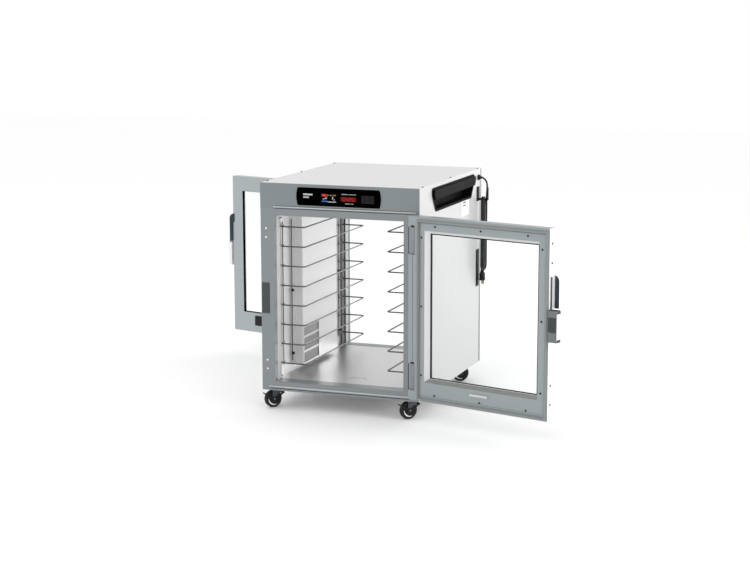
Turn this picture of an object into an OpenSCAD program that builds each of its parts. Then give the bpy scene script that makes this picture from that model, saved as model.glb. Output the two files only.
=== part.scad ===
// Pass-through heated proofing cabinet on swivel casters, with a glass door at each end.
// Origin: centre of the body, on the floor. +X right, +Y to the rear, +Z up. Millimetres.

/* [Body] */
// Width of the body
body_w = 702; // [560:1:860]
// Depth of the body between its two door frames
body_d = 866; // [700:1:1050]
// Height of the body above its underside
body_h = 885; // [700:1:1080]
// Thickness of the outer sheet
skin = 1.5; // [1:0.1:2.5]
// Thickness of the inner liner sheet
liner_t = 1.2; // [0.8:0.1:2]
// Distance from the outside of a side to the inside of the cavity
wall_w = 48; // [46:1:60]
// Height of the cavity floor above the underside
floor_z = 40; // [34:1:60]

/* [Door frames] */
// Depth of each door frame
frame_t = 28; // [20:1:40]
// Depth of the rear frame that shows past the side panels
rear_return = 24; // [3:1:28]
// Width of the stile under the latch
stile_latch = 60; // [54:1:80]
// Width of the stile under the hinges
stile_hinge = 68; // [60:1:90]
// Height of the band over the doors
header_h = 104; // [90:1:140]
// Height of the frame between the band and the opening
head_rail = 32; // [28:1:50]
// Depth of the insulating strips behind the frames
breaker_d = 34; // [20:1:50]
// Radius of the rolled bead over and under the opening
bead_r = 5; // [3:0.5:6]

/* [Doors] */
// Thickness of a door leaf
leaf_t = 40; // [30:1:45]
// Gap between the closed leaf and the frame
leaf_gap = 12; // [10:0.5:16]
// Height of a leaf's lower edge above the underside
leaf_z = 22.4; // [12:0.1:30]
// Distance from the side of the body to the hinge axis
axis_in = 13; // [12:0.5:16]
// Part of the latch stile that the leaf leaves bare
leaf_bare = 46; // [44:1:52]
// Angle the doors stand open at rest
open_angle = 164.5; // [90:0.5:170]
// Width of the plain border round the screwed trim
border = 18; // [16:1:24]
// Width of the plain border on the hinge side
border_hinge = 58; // [50:1:62]
// Trim width beside the window
rail_side = 21; // [15:1:30]
// Trim width over the window
rail_top = 31; // [20:1:45]
// Trim width under the window
rail_foot = 58; // [40:1:80]
// How far the window narrows between its inner and outer face
bevel = 13; // [6:1:18]
// Thickness of a glass pane
glass_t = 4; // [3:0.5:6]
// Width of the door gasket
gasket_w = 12; // [8:1:13]

/* [Hinges and latch] */
// Length of a hinge
hinge_l = 112; // [80:1:140]
// Radius of a hinge pin
pin_r = 4; // [3:0.1:5]
// Running clearance on a pin, on the radius
pin_fit = 0.05; // [0.02:0.01:0.1]
// Height of the latch box
latch_h = 124; // [90:1:150]
// Height of the latch box above the underside
latch_z = 340; // [260:1:420]
// How far the latch box reaches past the leaf
latch_w = 41; // [34:1:42]
// Height of the pull grip over the latch
grip_h = 131; // [90:1:160]

/* [Slides] */
// Clear width between the two racks of slides
pan_gap = 364; // [330:1:470]
// Spacing of the slides
slide_pitch = 84; // [60:1:120]
// Height of the lowest slide above the cavity floor
slide_first = 64; // [50:1:90]
// Diameter of the slide wire
wire_d = 6; // [4:0.5:8]
// Distance from a door face to the ends of the slides
slide_in = 76; // [70:1:110]
// Bend radius of a slide's corners
slide_bend = 14; // [8:1:24]

/* [Controls] */
// Width of the control panel
panel_w = 372; // [300:1:420]
// Height of the control panel
panel_h = 75; // [60:1:84]
// How far the panel's ends bow out
panel_bow = 6; // [2:1:10]
// Travel of the key pad
key_travel = 1.5; // [0.5:0.1:2.5]

/* [Carrying handles] */
// Length of a carrying handle along its top
carry_top = 584; // [400:1:600]
// Length of a carrying handle along its foot
carry_foot = 494; // [320:1:520]
// Height of a carrying handle
carry_h = 92; // [70:1:96]
// Depth of the recess behind a carrying handle
carry_deep = 40; // [28:1:44]
// Shift of the carrying handles towards the rear
carry_shift = 22; // [-30:1:40]

/* [Casters] */
// Diameter of a caster wheel
wheel_d = 76; // [60:1:80]
// Width of a caster wheel
wheel_w = 22; // [16:1:28]
// Height of the body's underside above the floor
ground = 85; // [81:1:100]
// Distance from a wheel's axle to its swivel axis
trail = 26; // [18:1:34]
// Distance from the side of the body to a swivel axis
caster_x = 45; // [40:1:70]
// Distance from a door frame to a swivel axis
caster_y = 65; // [60:1:100]
// Radius of the caster kingpin and of the axle
axle_r = 4; // [3:0.1:6]

/* [Cord] */
// Diameter of the power cord
cord_d = 8; // [7:0.1:9]

/* [Hidden] */
$fn = 48;

fit = 0.1;                               // air between a sheet and what it lies against
face_t = 3;                              // depth of the front frame's face plate
head_z = body_h - header_h;              // underside of the band over the doors
open_top = head_z - head_rail;           // top of the cavity opening
ceiling_z = open_top + 8;                // underside of the cavity ceiling
underside = 14;                          // underside of the insulated base panel
leaf_s = body_w - axis_in - leaf_bare;   // free edge of a leaf, from the hinge axis
leaf_top = head_z;                       // upper edge of a leaf
axis_y = leaf_gap + leaf_t / 2;          // hinge axis, out from the frame
knuckle_r = 9;                           // hinge barrel
bracket_t = 4;                           // hinge bracket's base plate
notch_s = 17;                            // how far a hinge notch reaches into the leaf
hinge_zs = [leaf_z + 40.6, leaf_top - 156];
trim_t = 3;                              // thickness of the screwed trim
trim_s = [border_hinge - axis_in, leaf_s - border];
trim_z = [leaf_z + border + 5.6, leaf_top - border - 6];
win_s = [trim_s[0] + rail_side, trim_s[1] - rail_side - 7];
win_z = [trim_z[0] + rail_foot, trim_z[1] - rail_top];
pane_in = leaf_t - 13;                   // depth of the inner pane's face behind the leaf's inner face
pane_out = leaf_t - 6;                   // depth of the outer pane's face
bead_t = 2.5;                            // thickness of the black glazing bead
bead_w = 4;                              // how far the glazing bead shows past the bevel
slide_count = floor((open_top - floor_z - slide_first - 50) / slide_pitch) + 1;
slide_x = (body_w - pan_gap) / 2 - wire_d / 2;    // inner wire of the left rack
post_x = wall_w + wire_d / 2 + 0.2;               // uprights, against the cavity wall
rail_x = post_x + wire_d - 0.2;                   // wall-side wire of a slide
post_ys = [slide_in + 34, slide_in + 130, body_d - slide_in - 34];
sill_bead = [34, body_w - 41];           // ends of the bead under the opening
sill_bead_z = 16;
band_bead = [62, body_w - 18];           // ends of the bead over the opening
band_bead_z = head_z + 4;
duct_y = [slide_in + 174, body_d - 211];
duct_w = 36;                             // width of the air duct
duct_z = floor_z + 20;
grille_y = [duct_y[0] + 6, duct_y[0] + 184];
grille_z = [duct_z + 4, duct_z + 168];
deck_z = ceiling_z + liner_t;            // top of the cavity liner, under the blower
blower_at = [130, body_d / 2];
panel_x = (body_w - panel_w) / 2;
panel_z = head_z + 16;
display_at = [panel_x + 197, panel_z + 23];
display_size = [68, 19];
key_at = [panel_x + 287, panel_z + 18];
key_size = [57, 33];
carry_z = body_h - 21 - carry_h;
cord_room = 78;                          // length kept free for the cord behind a carrying handle
carry_y = min(body_d / 2 + carry_shift, body_d - cord_room - carry_top / 2);
carry_split = 0.53;                      // share of the handle's height below the lip
clip_zs = [floor_z + 80, floor_z + 357]; // heights of the clips that hold the racks
race_r = 22;                             // caster swivel race
axle_z = wheel_d / 2 - ground;           // axle height in the body's frame
fork_y = wheel_w / 2 + 1.2;              // inner face of a fork leg
leg_t = 2.5;                             // thickness of a fork leg
front_turn = 229;                        // direction the front casters trail at rest
rear_turn = 196;                         // direction the rear casters trail at rest
gland_at = [body_w, body_d - 51, body_h - 38];
gland_l = 18;
hank_at = [body_w + 28, body_d - 60];    // middle of the hank, in plan
hank_fold = 3 * cord_d;                  // radius of the hank's folds
hank_z = [body_h - 455, body_h - 121];
hank_x = 3 * cord_d + 1.6;               // thickness of the hank
hank_r = hank_fold + cord_d / 2;
arm_z = hank_z[1] - cord_d - 0.4;        // top of the hook's arm, inside the folds
vent_s = [leaf_s - 181, leaf_s - 134];   // square vent cover on a door's outer face
vent_z = [leaf_z + 35, leaf_z + 82];
screw_r = 4;

// Points the cord follows from its gland to the hank, measured from the gland.
cord_points = [[15, 0, 0.6], [20.5, 0, -0.8], [26, 0, -3.4], [32, 0.2, -8], [37, 0.6, -14.4], [40.3, 1.4, -22],
    [41.7, 2.5, -31], [41.6, 4.2, -41], [40.9, 6.2, -51], [39.8, 8.2, -61], [38.6, 10, -71], [37.5, 11.4, -81],
    [36.8, 12.2, -90], [36.5, 12.5, -97]];

// Moves a piece from the body's corner frame to the part's own frame.
module in_body() {
    translate([-body_w / 2, -body_d / 2, ground]) children();
}

// The same piece at the other end of the cabinet, turned half round.
module at_rear() {
    rotate([0, 0, 180]) children();
}

module mirrored() {
    translate([body_w, 0, 0]) mirror([1, 0, 0]) children();
}

module block(x, y, z) {
    translate([x[0], y[0], z[0]]) cube([x[1] - x[0], y[1] - y[0], z[1] - z[0]]);
}

// Extrudes a drawing in X and Z along Y.
module along_y(y) {
    translate([0, y[1], 0]) rotate([90, 0, 0]) linear_extrude(height = y[1] - y[0]) children();
}

// Extrudes a drawing in Y and Z along X.
module along_x(x) {
    translate([x[0], 0, 0]) rotate([90, 0, 90]) linear_extrude(height = x[1] - x[0]) children();
}

module rect(a, b) {
    translate([a[0], b[0]]) square([a[1] - a[0], b[1] - b[0]]);
}

module rod(a, b, r) {
    d = b - a;
    translate(a) rotate([0, acos(d[2] / norm(d)), atan2(d[1], d[0])]) cylinder(h = norm(d), r = r);
}

// ---------------------------------------------------------------- body

module frame_opening(y) {
    block([stile_latch, body_w - stile_hinge], y, [floor_z, open_top]);
}

// The hollow inside a frame, open at the back.
module frame_hollow(y, top) {
    difference() {
        block([2 * skin + fit, body_w - 2 * skin - fit], y, [skin, top - skin]);
        block([stile_latch - skin, body_w - stile_hinge + skin], y + [-1, 1], [floor_z - skin, open_top + skin]);
    }
}

module base_panel() {
    x = [skin + fit, body_w - skin - fit];
    y = [frame_t, body_d - rear_return];
    color("silver") in_body() difference() {
        block(x, y, [underside, floor_z - 2]);
        block(x + [skin, -skin], y + [skin, -skin], [underside + skin, floor_z]);
    }
}

module side_sheet() {
    difference() {
        union() {
            block([0, skin], [face_t, body_d - rear_return], [0, body_h - skin]);
            block([skin, 14], [frame_t + fit, body_d - rear_return - fit], [0, skin]);
        }
        along_x([-1, skin + 1]) carry_outline(-1);
    }
}

module side_panel_left() {
    color("whitesmoke") in_body() side_sheet();
}

module side_panel_right() {
    color("whitesmoke") in_body() mirrored() side_sheet();
}

module top_panel() {
    color("white") in_body() {
        block([0, body_w], [face_t, body_d], [body_h - skin, body_h]);
        for (x = [[skin + fit, 2 * skin + fit], [body_w - 2 * skin - fit, body_w - skin - fit]])
            block(x, [frame_t + fit, body_d - rear_return - fit], [body_h - 14, body_h - skin]);
    }
}

module front_frame() {
    color("slategray") in_body() {
        difference() {
            union() {
                block([0, body_w], [0, face_t], [0, head_z]);
                block([skin + fit, body_w - skin - fit], [face_t, frame_t], [0, head_z]);
            }
            frame_hollow([face_t, frame_t + 1], head_z);
            frame_opening([-1, frame_t + 1]);
        }
        rod([sill_bead[0], 1, sill_bead_z], [sill_bead[1], 1, sill_bead_z], bead_r);
    }
}

module rear_frame() {
    color("slategray") at_rear() in_body() {
        difference() {
            union() {
                block([0, body_w], [0, rear_return], [0, body_h - skin]);
                block([0, body_w], [-1.5, 0], [head_z, body_h - skin]);
            }
            frame_hollow([face_t, frame_t + 1], body_h - skin);
            frame_opening([-1, frame_t + 1]);
        }
        rod([sill_bead[0], 1, sill_bead_z], [sill_bead[1], 1, sill_bead_z], bead_r);
        rod([band_bead[0], 0, band_bead_z], [band_bead[1], 0, band_bead_z], bead_r - 1);
    }
}

module front_header() {
    color("slategray") in_body() {
        difference() {
            block([0, body_w], [-1.5, face_t], [head_z, body_h]);
            along_y([-3, face_t + 1]) panel_outline(0.3);
        }
        block([skin + fit, body_w - skin - fit], [face_t, frame_t], [head_z, head_z + 1.5]);
        block([skin + fit, body_w - skin - fit], [face_t, frame_t], [body_h - 2 * skin, body_h - skin - fit]);
        rod([band_bead[0], -0.5, band_bead_z], [band_bead[1], -0.5, band_bead_z], bead_r - 1);
    }
}

module breaker(depth) {
    difference() {
        block([wall_w - liner_t, body_w - wall_w + liner_t], [depth, depth + breaker_d], [floor_z - 2, ceiling_z]);
        frame_opening([0, 200]);
    }
}

module breaker_strips() {
    color("lightgray") in_body() breaker(frame_t);
    color("lightgray") at_rear() in_body() breaker(rear_return);
}

module liner() {
    color("gainsboro") in_body() along_y([frame_t + breaker_d, body_d - rear_return - breaker_d]) difference() {
        rect([wall_w - liner_t, body_w - wall_w + liner_t], [floor_z - 2, ceiling_z + liner_t]);
        rect([wall_w, body_w - wall_w], [0, ceiling_z]);
    }
}

module floor_tray() {
    y0 = frame_t + breaker_d + fit;
    y1 = body_d - rear_return - breaker_d - fit;
    color("lightgray") in_body() {
        block([wall_w + fit, body_w - wall_w - fit], [y0, y1], [floor_z - 2, floor_z]);
        translate([body_w / 2 + 24, 138, floor_z]) rotate([0, 0, 12])
            rotate_extrude(angle = 150, $fn = 64) translate([44, 0]) circle(r = 1.2, $fn = 16);
    }
}

module air_duct() {
    x = [wall_w + fit, wall_w + duct_w];
    color("gainsboro") in_body() difference() {
        block(x, duct_y, [duct_z, ceiling_z - fit]);
        block([wall_w - 1, x[1] - liner_t], [duct_y[0] + liner_t, duct_y[1] - liner_t],
            [duct_z + liner_t, ceiling_z - 2]);
        block([x[1] - 3, x[1] + 1], grille_y, grille_z);
    }
}

module return_grille() {
    x = [wall_w + duct_w - 5, wall_w + duct_w + 1.5];
    bars = [48, 76, 114];
    color("dimgray") in_body() difference() {
        block(x, grille_y + [fit, -fit], grille_z + [fit, -fit]);
        for (i = [0 : 3]) {
            low = i == 0 ? 4 : bars[i - 1] + 9;
            high = i == 3 ? grille_z[1] - grille_z[0] - 4 : bars[i];
            block([0, 200], grille_y + [4, -4], [grille_z[0] + low, grille_z[0] + high]);
        }
    }
}

// ---------------------------------------------------------------- blower

module blower_motor() {
    color("dimgray") in_body() translate([blower_at[0], blower_at[1], deck_z]) {
        difference() {
            block([-70, 70], [-72, 72], [56, 59]);
            translate([0, 0, 50]) cylinder(h = 20, r = 9);
        }
        for (x = [[-70, -68], [68, 70]])
            block(x, [-72, 72], [0, 56]);
        translate([0, 0, 59]) difference() {
            cylinder(h = 48, r = 40);
            translate([0, 0, -1]) cylinder(h = 4, r = 9);
        }
        translate([0, 0, 20]) cylinder(h = 45, r = pin_r);
    }
}

module blower_wheel() {
    blades = 18;
    color("silver") in_body() translate([blower_at[0], blower_at[1], deck_z + 6]) difference() {
        union() {
            cylinder(h = 3, r = 58);
            cylinder(h = 34, r = 12);
            translate([0, 0, 40]) difference() {
                cylinder(h = 3, r = 58);
                translate([0, 0, -1]) cylinder(h = 5, r = 46);
            }
            for (i = [0 : blades - 1])
                rotate([0, 0, i * 360 / blades]) translate([46, 0, 1]) rotate([0, 0, 30])
                    block([0, 11], [-0.8, 0.8], [0, 40]);
        }
        translate([0, 0, -1]) cylinder(h = 60, r = pin_r + pin_fit);
    }
}

// ---------------------------------------------------------------- controls

// Panel drawing: a rectangle whose short ends bow out.
module panel_outline(grow) {
    half = panel_h / 2 + grow;
    arc_r = half * half / (2 * panel_bow) + panel_bow / 2;
    z = [panel_z - grow, panel_z + panel_h + grow];
    ends = [panel_x - grow, panel_x + panel_w + grow];
    rect([ends[0] + panel_bow, ends[1] - panel_bow], z);
    intersection() {
        rect([ends[0], body_w / 2], z);
        translate([ends[0] + arc_r, panel_z + panel_h / 2]) circle(r = arc_r, $fn = 180);
    }
    intersection() {
        rect([body_w / 2, ends[1]], z);
        translate([ends[1] - arc_r, panel_z + panel_h / 2]) circle(r = arc_r, $fn = 180);
    }
}

module control_panel() {
    color("black") in_body() difference() {
        along_y([-5.5, 2.5]) panel_outline(0);
        block([display_at[0], display_at[0] + display_size[0]], [-6, -3.5],
            [display_at[1], display_at[1] + display_size[1]]);
        block([key_at[0] - 0.4, key_at[0] + key_size[0] + 0.4], [-6, -1],
            [key_at[1] - 0.4, key_at[1] + key_size[1] + 0.4]);
    }
}

module display_window() {
    color("darkred") in_body() block([display_at[0] + fit, display_at[0] + display_size[0] - fit], [-5.3, -3.5],
        [display_at[1] + fit, display_at[1] + display_size[1] - fit]);
}

module key_pad() {
    color("dimgray") in_body() block([key_at[0], key_at[0] + key_size[0]], [-6.4, -1.4 - key_travel],
        [key_at[1], key_at[1] + key_size[1]]);
}

// ---------------------------------------------------------------- racks of wire slides

module slide_loop(z) {
    r = wire_d / 2;
    y = [slide_in, body_d - slide_in];
    turn = slide_x - slide_bend;
    rod([rail_x, y[0], z], [rail_x, post_ys[0], z], r);
    rod([rail_x, post_ys[2], z], [rail_x, y[1], z], r);
    rod([slide_x, y[0] + slide_bend, z], [slide_x, y[1] - slide_bend, z], r);
    for (end = y) {
        rod([rail_x, end, z], [turn, end, z], r);
        translate([rail_x, end, z]) sphere(r = r, $fn = 24);
    }
    translate([turn, y[0] + slide_bend, z]) rotate([0, 0, -90])
        rotate_extrude(angle = 90) translate([slide_bend, 0]) circle(r = r);
    translate([turn, y[1] - slide_bend, z])
        rotate_extrude(angle = 90) translate([slide_bend, 0]) circle(r = r);
}

module rack_slides() {
    for (i = [0 : slide_count - 1])
        slide_loop(floor_z + slide_first + i * slide_pitch);
}

// Three uprights against the wall, and the hook and foot at each end of the rack.
module rack_posts() {
    r = wire_d / 2;
    low = floor_z + slide_first;
    high = low + (slide_count - 1) * slide_pitch;
    for (y = post_ys)
        rod([post_x, y, low - 14], [post_x, y, high + 14], r);
    for (y = [slide_in, body_d - slide_in]) {
        back = y < body_d / 2 ? 20 : -20;
        rod([post_x, y, low], [post_x, y, floor_z + 6], r);
        rod([post_x, y, floor_z + 6], [post_x, y + back, floor_z + 6], r);
        rod([post_x, y, high], [post_x, y, high + 36], r);
        rod([post_x, y, high + 36], [post_x, y + back, high + 36], r);
    }
}

module rack_left_slides() {
    color("gray") in_body() rack_slides();
}

module rack_left_posts() {
    color("gray") in_body() rack_posts();
}

module rack_right_slides() {
    color("gray") in_body() mirrored() rack_slides();
}

module rack_right_posts() {
    color("gray") in_body() mirrored() rack_posts();
}

// Black hooks on the walls that hold the racks' uprights.
module rack_clip_row() {
    for (z = clip_zs)
        for (y = [post_ys[1], post_ys[2]]) {
            block([wall_w, wall_w + 12], [y + wire_d / 2, y + wire_d / 2 + 5], [z - 5, z + 5]);
            block([wall_w + wire_d + 1, wall_w + 12], [y - 5, y + wire_d / 2], [z - 5, z + 5]);
        }
}

module rack_clips() {
    color("black") in_body() rack_clip_row();
    color("black") in_body() mirrored() rack_clip_row();
}

// ---------------------------------------------------------------- carrying handles

// Handle drawing in Y and Z: wider at the top, with rounded corners.
module carry_outline(grow) {
    y = carry_y;
    z = carry_z;
    offset(r = 9 + grow) offset(delta = -9)
        polygon([[y - carry_top / 2, z + carry_h], [y - carry_top / 2, z + carry_h - 26],
            [y - carry_foot / 2, z], [y + carry_foot / 2, z], [y + carry_top / 2, z + carry_h - 26],
            [y + carry_top / 2, z + carry_h]]);
}

module carry_handle() {
    split = carry_z + carry_h * carry_split;
    difference() {
        union() {
            along_x([-3, 0]) carry_outline(5);
            along_x([0, carry_deep]) carry_outline(-1.2);
        }
        along_x([-4, carry_deep - 3]) carry_outline(-4.5);
    }
    difference() {
        along_x([-12, 0]) carry_outline(-3.5);
        block([-20, 20], [0, body_d], [carry_z - 20, split]);
        intersection() {
            along_x([-8, 1]) carry_outline(-8);
            block([-20, 20], [0, body_d], [split + 6, body_h]);
        }
    }
}

module carry_handle_left() {
    color("black") in_body() carry_handle();
}

module carry_handle_right() {
    color("black") in_body() mirrored() carry_handle();
}

// ---------------------------------------------------------------- small fixed pieces

module strike() {
    along_y([-3.6, 0]) offset(r = 2) rect([6, 35], [latch_z - 6, latch_z + latch_h - 4]);
}

module strike_plates() {
    color("darkslategray") in_body() strike();
    color("darkslategray") at_rear() in_body() strike();
}

module stile_plugs() {
    for (z = [hinge_zs[0] + 30, hinge_zs[0] + 67, hinge_zs[1] + 31, hinge_zs[1] + 68])
        rod([24.5, 0, z], [24.5, -1.6, z], 4);
}

module body_fasteners() {
    color("gray") in_body() {
        for (x = [7, body_w - 7])
            for (y = [60, body_d / 2, body_d - 40])
                rod([x, y, body_h], [x, y, body_h + 2.2], 5);
        stile_plugs();
    }
    color("gray") at_rear() in_body() stile_plugs();
}

// One hinge half on the frame: base plate, arm, lower barrel and pin.
module hinge_bracket(z) {
    x = body_w - axis_in;
    block([x - 33, x + 11], [-bracket_t, 0], [z, z + hinge_l]);
    block([x - 8, x + 8], [-axis_y, -bracket_t], [z, z + hinge_l / 2 - 2]);
    translate([x, -axis_y, z]) cylinder(h = hinge_l / 2 - 2, r = knuckle_r);
    translate([x, -axis_y, z]) cylinder(h = hinge_l - 8, r = pin_r);
}

module hinge_brackets() {
    color("silver") in_body()
        for (z = hinge_zs)
            hinge_bracket(z);
    color("silver") at_rear() in_body()
        for (z = hinge_zs)
            hinge_bracket(z);
}

// ---------------------------------------------------------------- power cord

function unit(v) = v / norm(v);
function heading(p, i) = unit(p[min(i + 1, len(p) - 1)] - p[max(i - 1, 0)]);
function ring(p, i, r, n) =
    let (t = heading(p, i), a = unit(cross(t, [0, 1, 0])), b = cross(t, a))
    [for (k = [0 : n - 1]) p[i] + r * (cos(k * 360 / n) * a + sin(k * 360 / n) * b)];

module tube(p, r, n) {
    m = len(p);
    points = [for (i = [0 : m - 1]) each ring(p, i, r, n)];
    sides = [for (i = [0 : m - 2]) for (k = [0 : n - 1])
        [i * n + k, i * n + (k + 1) % n, (i + 1) * n + (k + 1) % n, (i + 1) * n + k]];
    caps = [[for (k = [n - 1 : -1 : 0]) k], [for (k = [0 : n - 1]) (m - 1) * n + k]];
    polyhedron(points = points, faces = concat(sides, caps));
}

module cord_gland() {
    color("black") in_body() translate(gland_at) rotate([0, 90, 0]) rotate_extrude()
        polygon([[0, 0], [14, 0], [14, 3], [11, 4], [10.5, 12], [6, gland_l], [0, gland_l]]);
}

module cord_tube() {
    color("black") in_body() translate(gland_at) tube(cord_points, cord_d / 2, 10);
}

module cord_hank() {
    color("black") in_body() along_x([hank_at[0] - hank_x / 2, hank_at[0] + hank_x / 2]) {
        for (z = [hank_z[0] + hank_r, hank_z[1] - hank_r])
            translate([hank_at[1], z]) circle(r = hank_r);
        rect([hank_at[1] - hank_r, hank_at[1] + hank_r], [hank_z[0] + hank_r, hank_z[1] - hank_r]);
    }
}

// Strap round the hank.
module cord_tie() {
    x = [hank_at[0] - hank_x / 2, hank_at[0] + hank_x / 2];
    y = [hank_at[1] - hank_r, hank_at[1] + hank_r];
    z = (hank_z[0] + hank_z[1]) / 2 - 10;
    color("dimgray") in_body() difference() {
        block(x + [-2, 2], y + [-2, 2], [z, z + 18]);
        block(x, y, [z - 1, z + 19]);
    }
}

module power_plug() {
    relief = 36;
    color("black") in_body() translate([hank_at[0] - cord_d - 0.5, hank_at[1] + hank_fold, hank_z[0] + 20]) {
        rotate([180, 0, 0]) rotate_extrude()
            polygon([[0, 0], [5.2, 0], [9, relief], [0, relief]]);
        block([-12.5, 12.5], [-15, 15], [-relief - 34, -relief + 2]);
        for (y = [[-7.2, -5.6], [5.6, 7.2]])
            block([-3.2, 3.2], y, [-relief - 52, -relief - 34]);
        translate([8, 0, -relief - 54]) cylinder(h = 21, r = 2.4);
    }
}

// Hook that the hank hangs on, and the rub pad under it.
module cord_hook() {
    y = [hank_at[1] - 6, hank_at[1] + 6];
    color("dimgray") in_body() {
        block([body_w, body_w + 4], [y[0] - 5, y[1] + 14], [arm_z - 14, arm_z + 50]);
        block([body_w + 4, body_w + 45], y, [arm_z - 9, arm_z]);
        block([body_w + 45, body_w + 51], [y[0] - 4, y[1]], [arm_z - 9, arm_z + 48]);
        block([body_w, body_w + 2.5], [hank_at[1] - 13, hank_at[1] + 26],
            [hank_z[0] - 75, hank_z[0] + 93]);
    }
}

// ---------------------------------------------------------------- casters

// Places a caster's own frame: swivel axis at the origin, the wheel trailing towards +X.
module caster_at(right, rear, turn) {
    in_body() translate([right ? body_w - caster_x : caster_x, rear ? body_d - caster_y : caster_y, 0])
        rotate([0, 0, turn]) children();
}

module caster_plate() {
    plate = 60;
    block([-plate / 2 + 6, plate / 2], [-plate / 2, plate / 2], [underside - 3, underside]);
    translate([0, 0, -5]) cylinder(h = underside + 3, r = axle_r);
    for (x = [-17, 23])
        for (y = [-23, 23])
            translate([x, y, underside - 7]) cylinder(h = 4, r = 5.5, $fn = 6);
}

module caster_plates() {
    color("silver")
        for (right = [false, true])
            for (rear = [false, true])
                caster_at(right, rear, right ? 180 : 0) caster_plate();
}

module caster_fork() {
    leg = [[-14, -6], [34, -6], [trail + 9, axle_z - 4], [trail + 5, axle_z - 9], [trail - 5, axle_z - 9],
        [trail - 9, axle_z - 3]];
    difference() {
        union() {
            translate([0, 0, -4]) cylinder(h = underside - 3 - 0.5 + 4, r = race_r);
            block([-18, 34], [-fork_y - leg_t, fork_y + leg_t], [-6, -2]);
            for (side = [-fork_y - leg_t, fork_y])
                along_y([side, side + leg_t]) polygon(leg);
        }
        translate([0, 0, -10]) cylinder(h = 40, r = axle_r + pin_fit);
    }
    rod([trail, -fork_y - leg_t - 2, axle_z], [trail, fork_y + leg_t + 6.5, axle_z], axle_r);
}

module caster_wheel() {
    r = wheel_d / 2;
    h = wheel_w / 2;
    bore = axle_r + pin_fit;
    translate([trail, 0, axle_z]) rotate([90, 0, 0]) rotate_extrude($fn = 96)
        polygon([[bore, -h], [9, -h], [11, -h + 5], [24, -h + 5], [26, -h + 1], [r - 4, -h], [r - 1, -h + 3],
            [r, -h + 7], [r, h - 7], [r - 1, h - 3], [r - 4, h], [26, h - 1], [24, h - 5], [11, h - 5], [9, h],
            [bore, h]]);
}

// Two-armed pedal beside the fork; its pads reach over the tread.
module brake_pedal() {
    boss = [fork_y + leg_t + 1.2, fork_y + leg_t + 5];
    arm = boss + [0.5, -0.5];
    reach = wheel_d / 2 + 15;
    translate([trail, 0, axle_z]) {
        difference() {
            rod([0, boss[0], 0], [0, boss[1], 0], 9);
            rod([0, boss[0] - 1, 0], [0, boss[1] + 1, 0], axle_r + pin_fit);
        }
        for (up = [31, 149])
            rotate([0, -up, 0]) {
                block([7, reach], arm, [-4, 4]);
                block([reach - 10, reach - 1], [-8, arm[1] - 0.5], [-2, 3]);
            }
    }
}

module caster_fork_fl() {
    color("gray") caster_at(false, false, front_turn) caster_fork();
}

module caster_fork_fr() {
    color("gray") caster_at(true, false, front_turn) caster_fork();
}

module caster_fork_rl() {
    color("gray") caster_at(false, true, rear_turn) caster_fork();
}

module caster_fork_rr() {
    color("gray") caster_at(true, true, rear_turn) caster_fork();
}

module caster_wheel_fl() {
    color("black") caster_at(false, false, front_turn) caster_wheel();
}

module caster_wheel_fr() {
    color("black") caster_at(true, false, front_turn) caster_wheel();
}

module caster_wheel_rl() {
    color("black") caster_at(false, true, rear_turn) caster_wheel();
}

module caster_wheel_rr() {
    color("black") caster_at(true, true, rear_turn) caster_wheel();
}

module brake_pedal_fl() {
    color("black") caster_at(false, false, front_turn) brake_pedal();
}

module brake_pedal_fr() {
    color("black") caster_at(true, false, front_turn) brake_pedal();
}

// ---------------------------------------------------------------- doors

// A door's own frame: hinge axis at the origin; closed, the leaf lies along -X. Distances along
// the leaf are s, from the axis; depths t run from the leaf's inner face to its outer face.
module in_door() {
    in_body() translate([body_w - axis_in, -axis_y, 0]) rotate([0, 0, open_angle]) children();
}

module slab(s, t, z) {
    block([-s[1], -s[0]], [leaf_t / 2 - t[1], leaf_t / 2 - t[0]], z);
}

module slab_ring(s, z, t, s_in, z_in) {
    difference() {
        slab(s, t, z);
        slab(s_in, [t[0] - 1, t[1] + 1], z_in);
    }
}

module door_shell() {
    s = [-axis_in, leaf_s];
    z = [leaf_z, leaf_top];
    difference() {
        slab(s, [0, leaf_t], z);
        slab(trim_s, [-1, trim_t], trim_z);
        slab(win_s + [-3.8, 3.2], [-1, leaf_t - 2], win_z + [-4, 4]);
        slab(win_s + [bevel, -bevel] + [1, -1], [0, leaf_t + 1], win_z + [bevel, -bevel] + [1, -1]);
        for (hz = hinge_zs)
            slab([-axis_in - 1, notch_s], [-1, leaf_t + 1], [hz - 1, hz + hinge_l]);
        slab_ring([notch_s + skin, leaf_s - skin], z + [skin, -skin], [trim_t + skin, leaf_t - skin],
            win_s + [-3.8 - skin, 3.2 + skin], win_z + [-4 - skin, 4 + skin]);
        slab_ring(trim_s + [8, -8], trim_z + [8, -8], [trim_t - 0.1, trim_t + 2 * skin],
            win_s + [-3.8 - skin, 3.2 + skin], win_z + [-4 - skin, 4 + skin]);
    }
    for (hz = hinge_zs) {
        low = hz + hinge_l / 2 - 1.4;
        high = hz + hinge_l - 4;
        difference() {
            union() {
                translate([0, 0, low]) cylinder(h = high - low, r = knuckle_r);
                slab([0, notch_s + 1], [leaf_t / 2 - 4, leaf_t / 2 + 4], [low, high]);
            }
            translate([0, 0, low - 1]) cylinder(h = high - low + 2, r = pin_r + pin_fit);
        }
    }
}

module door_trim() {
    slab_ring(trim_s + [0.5, -0.5], trim_z + [0.5, -0.5], [0.3, trim_t], win_s, win_z);
}

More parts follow.
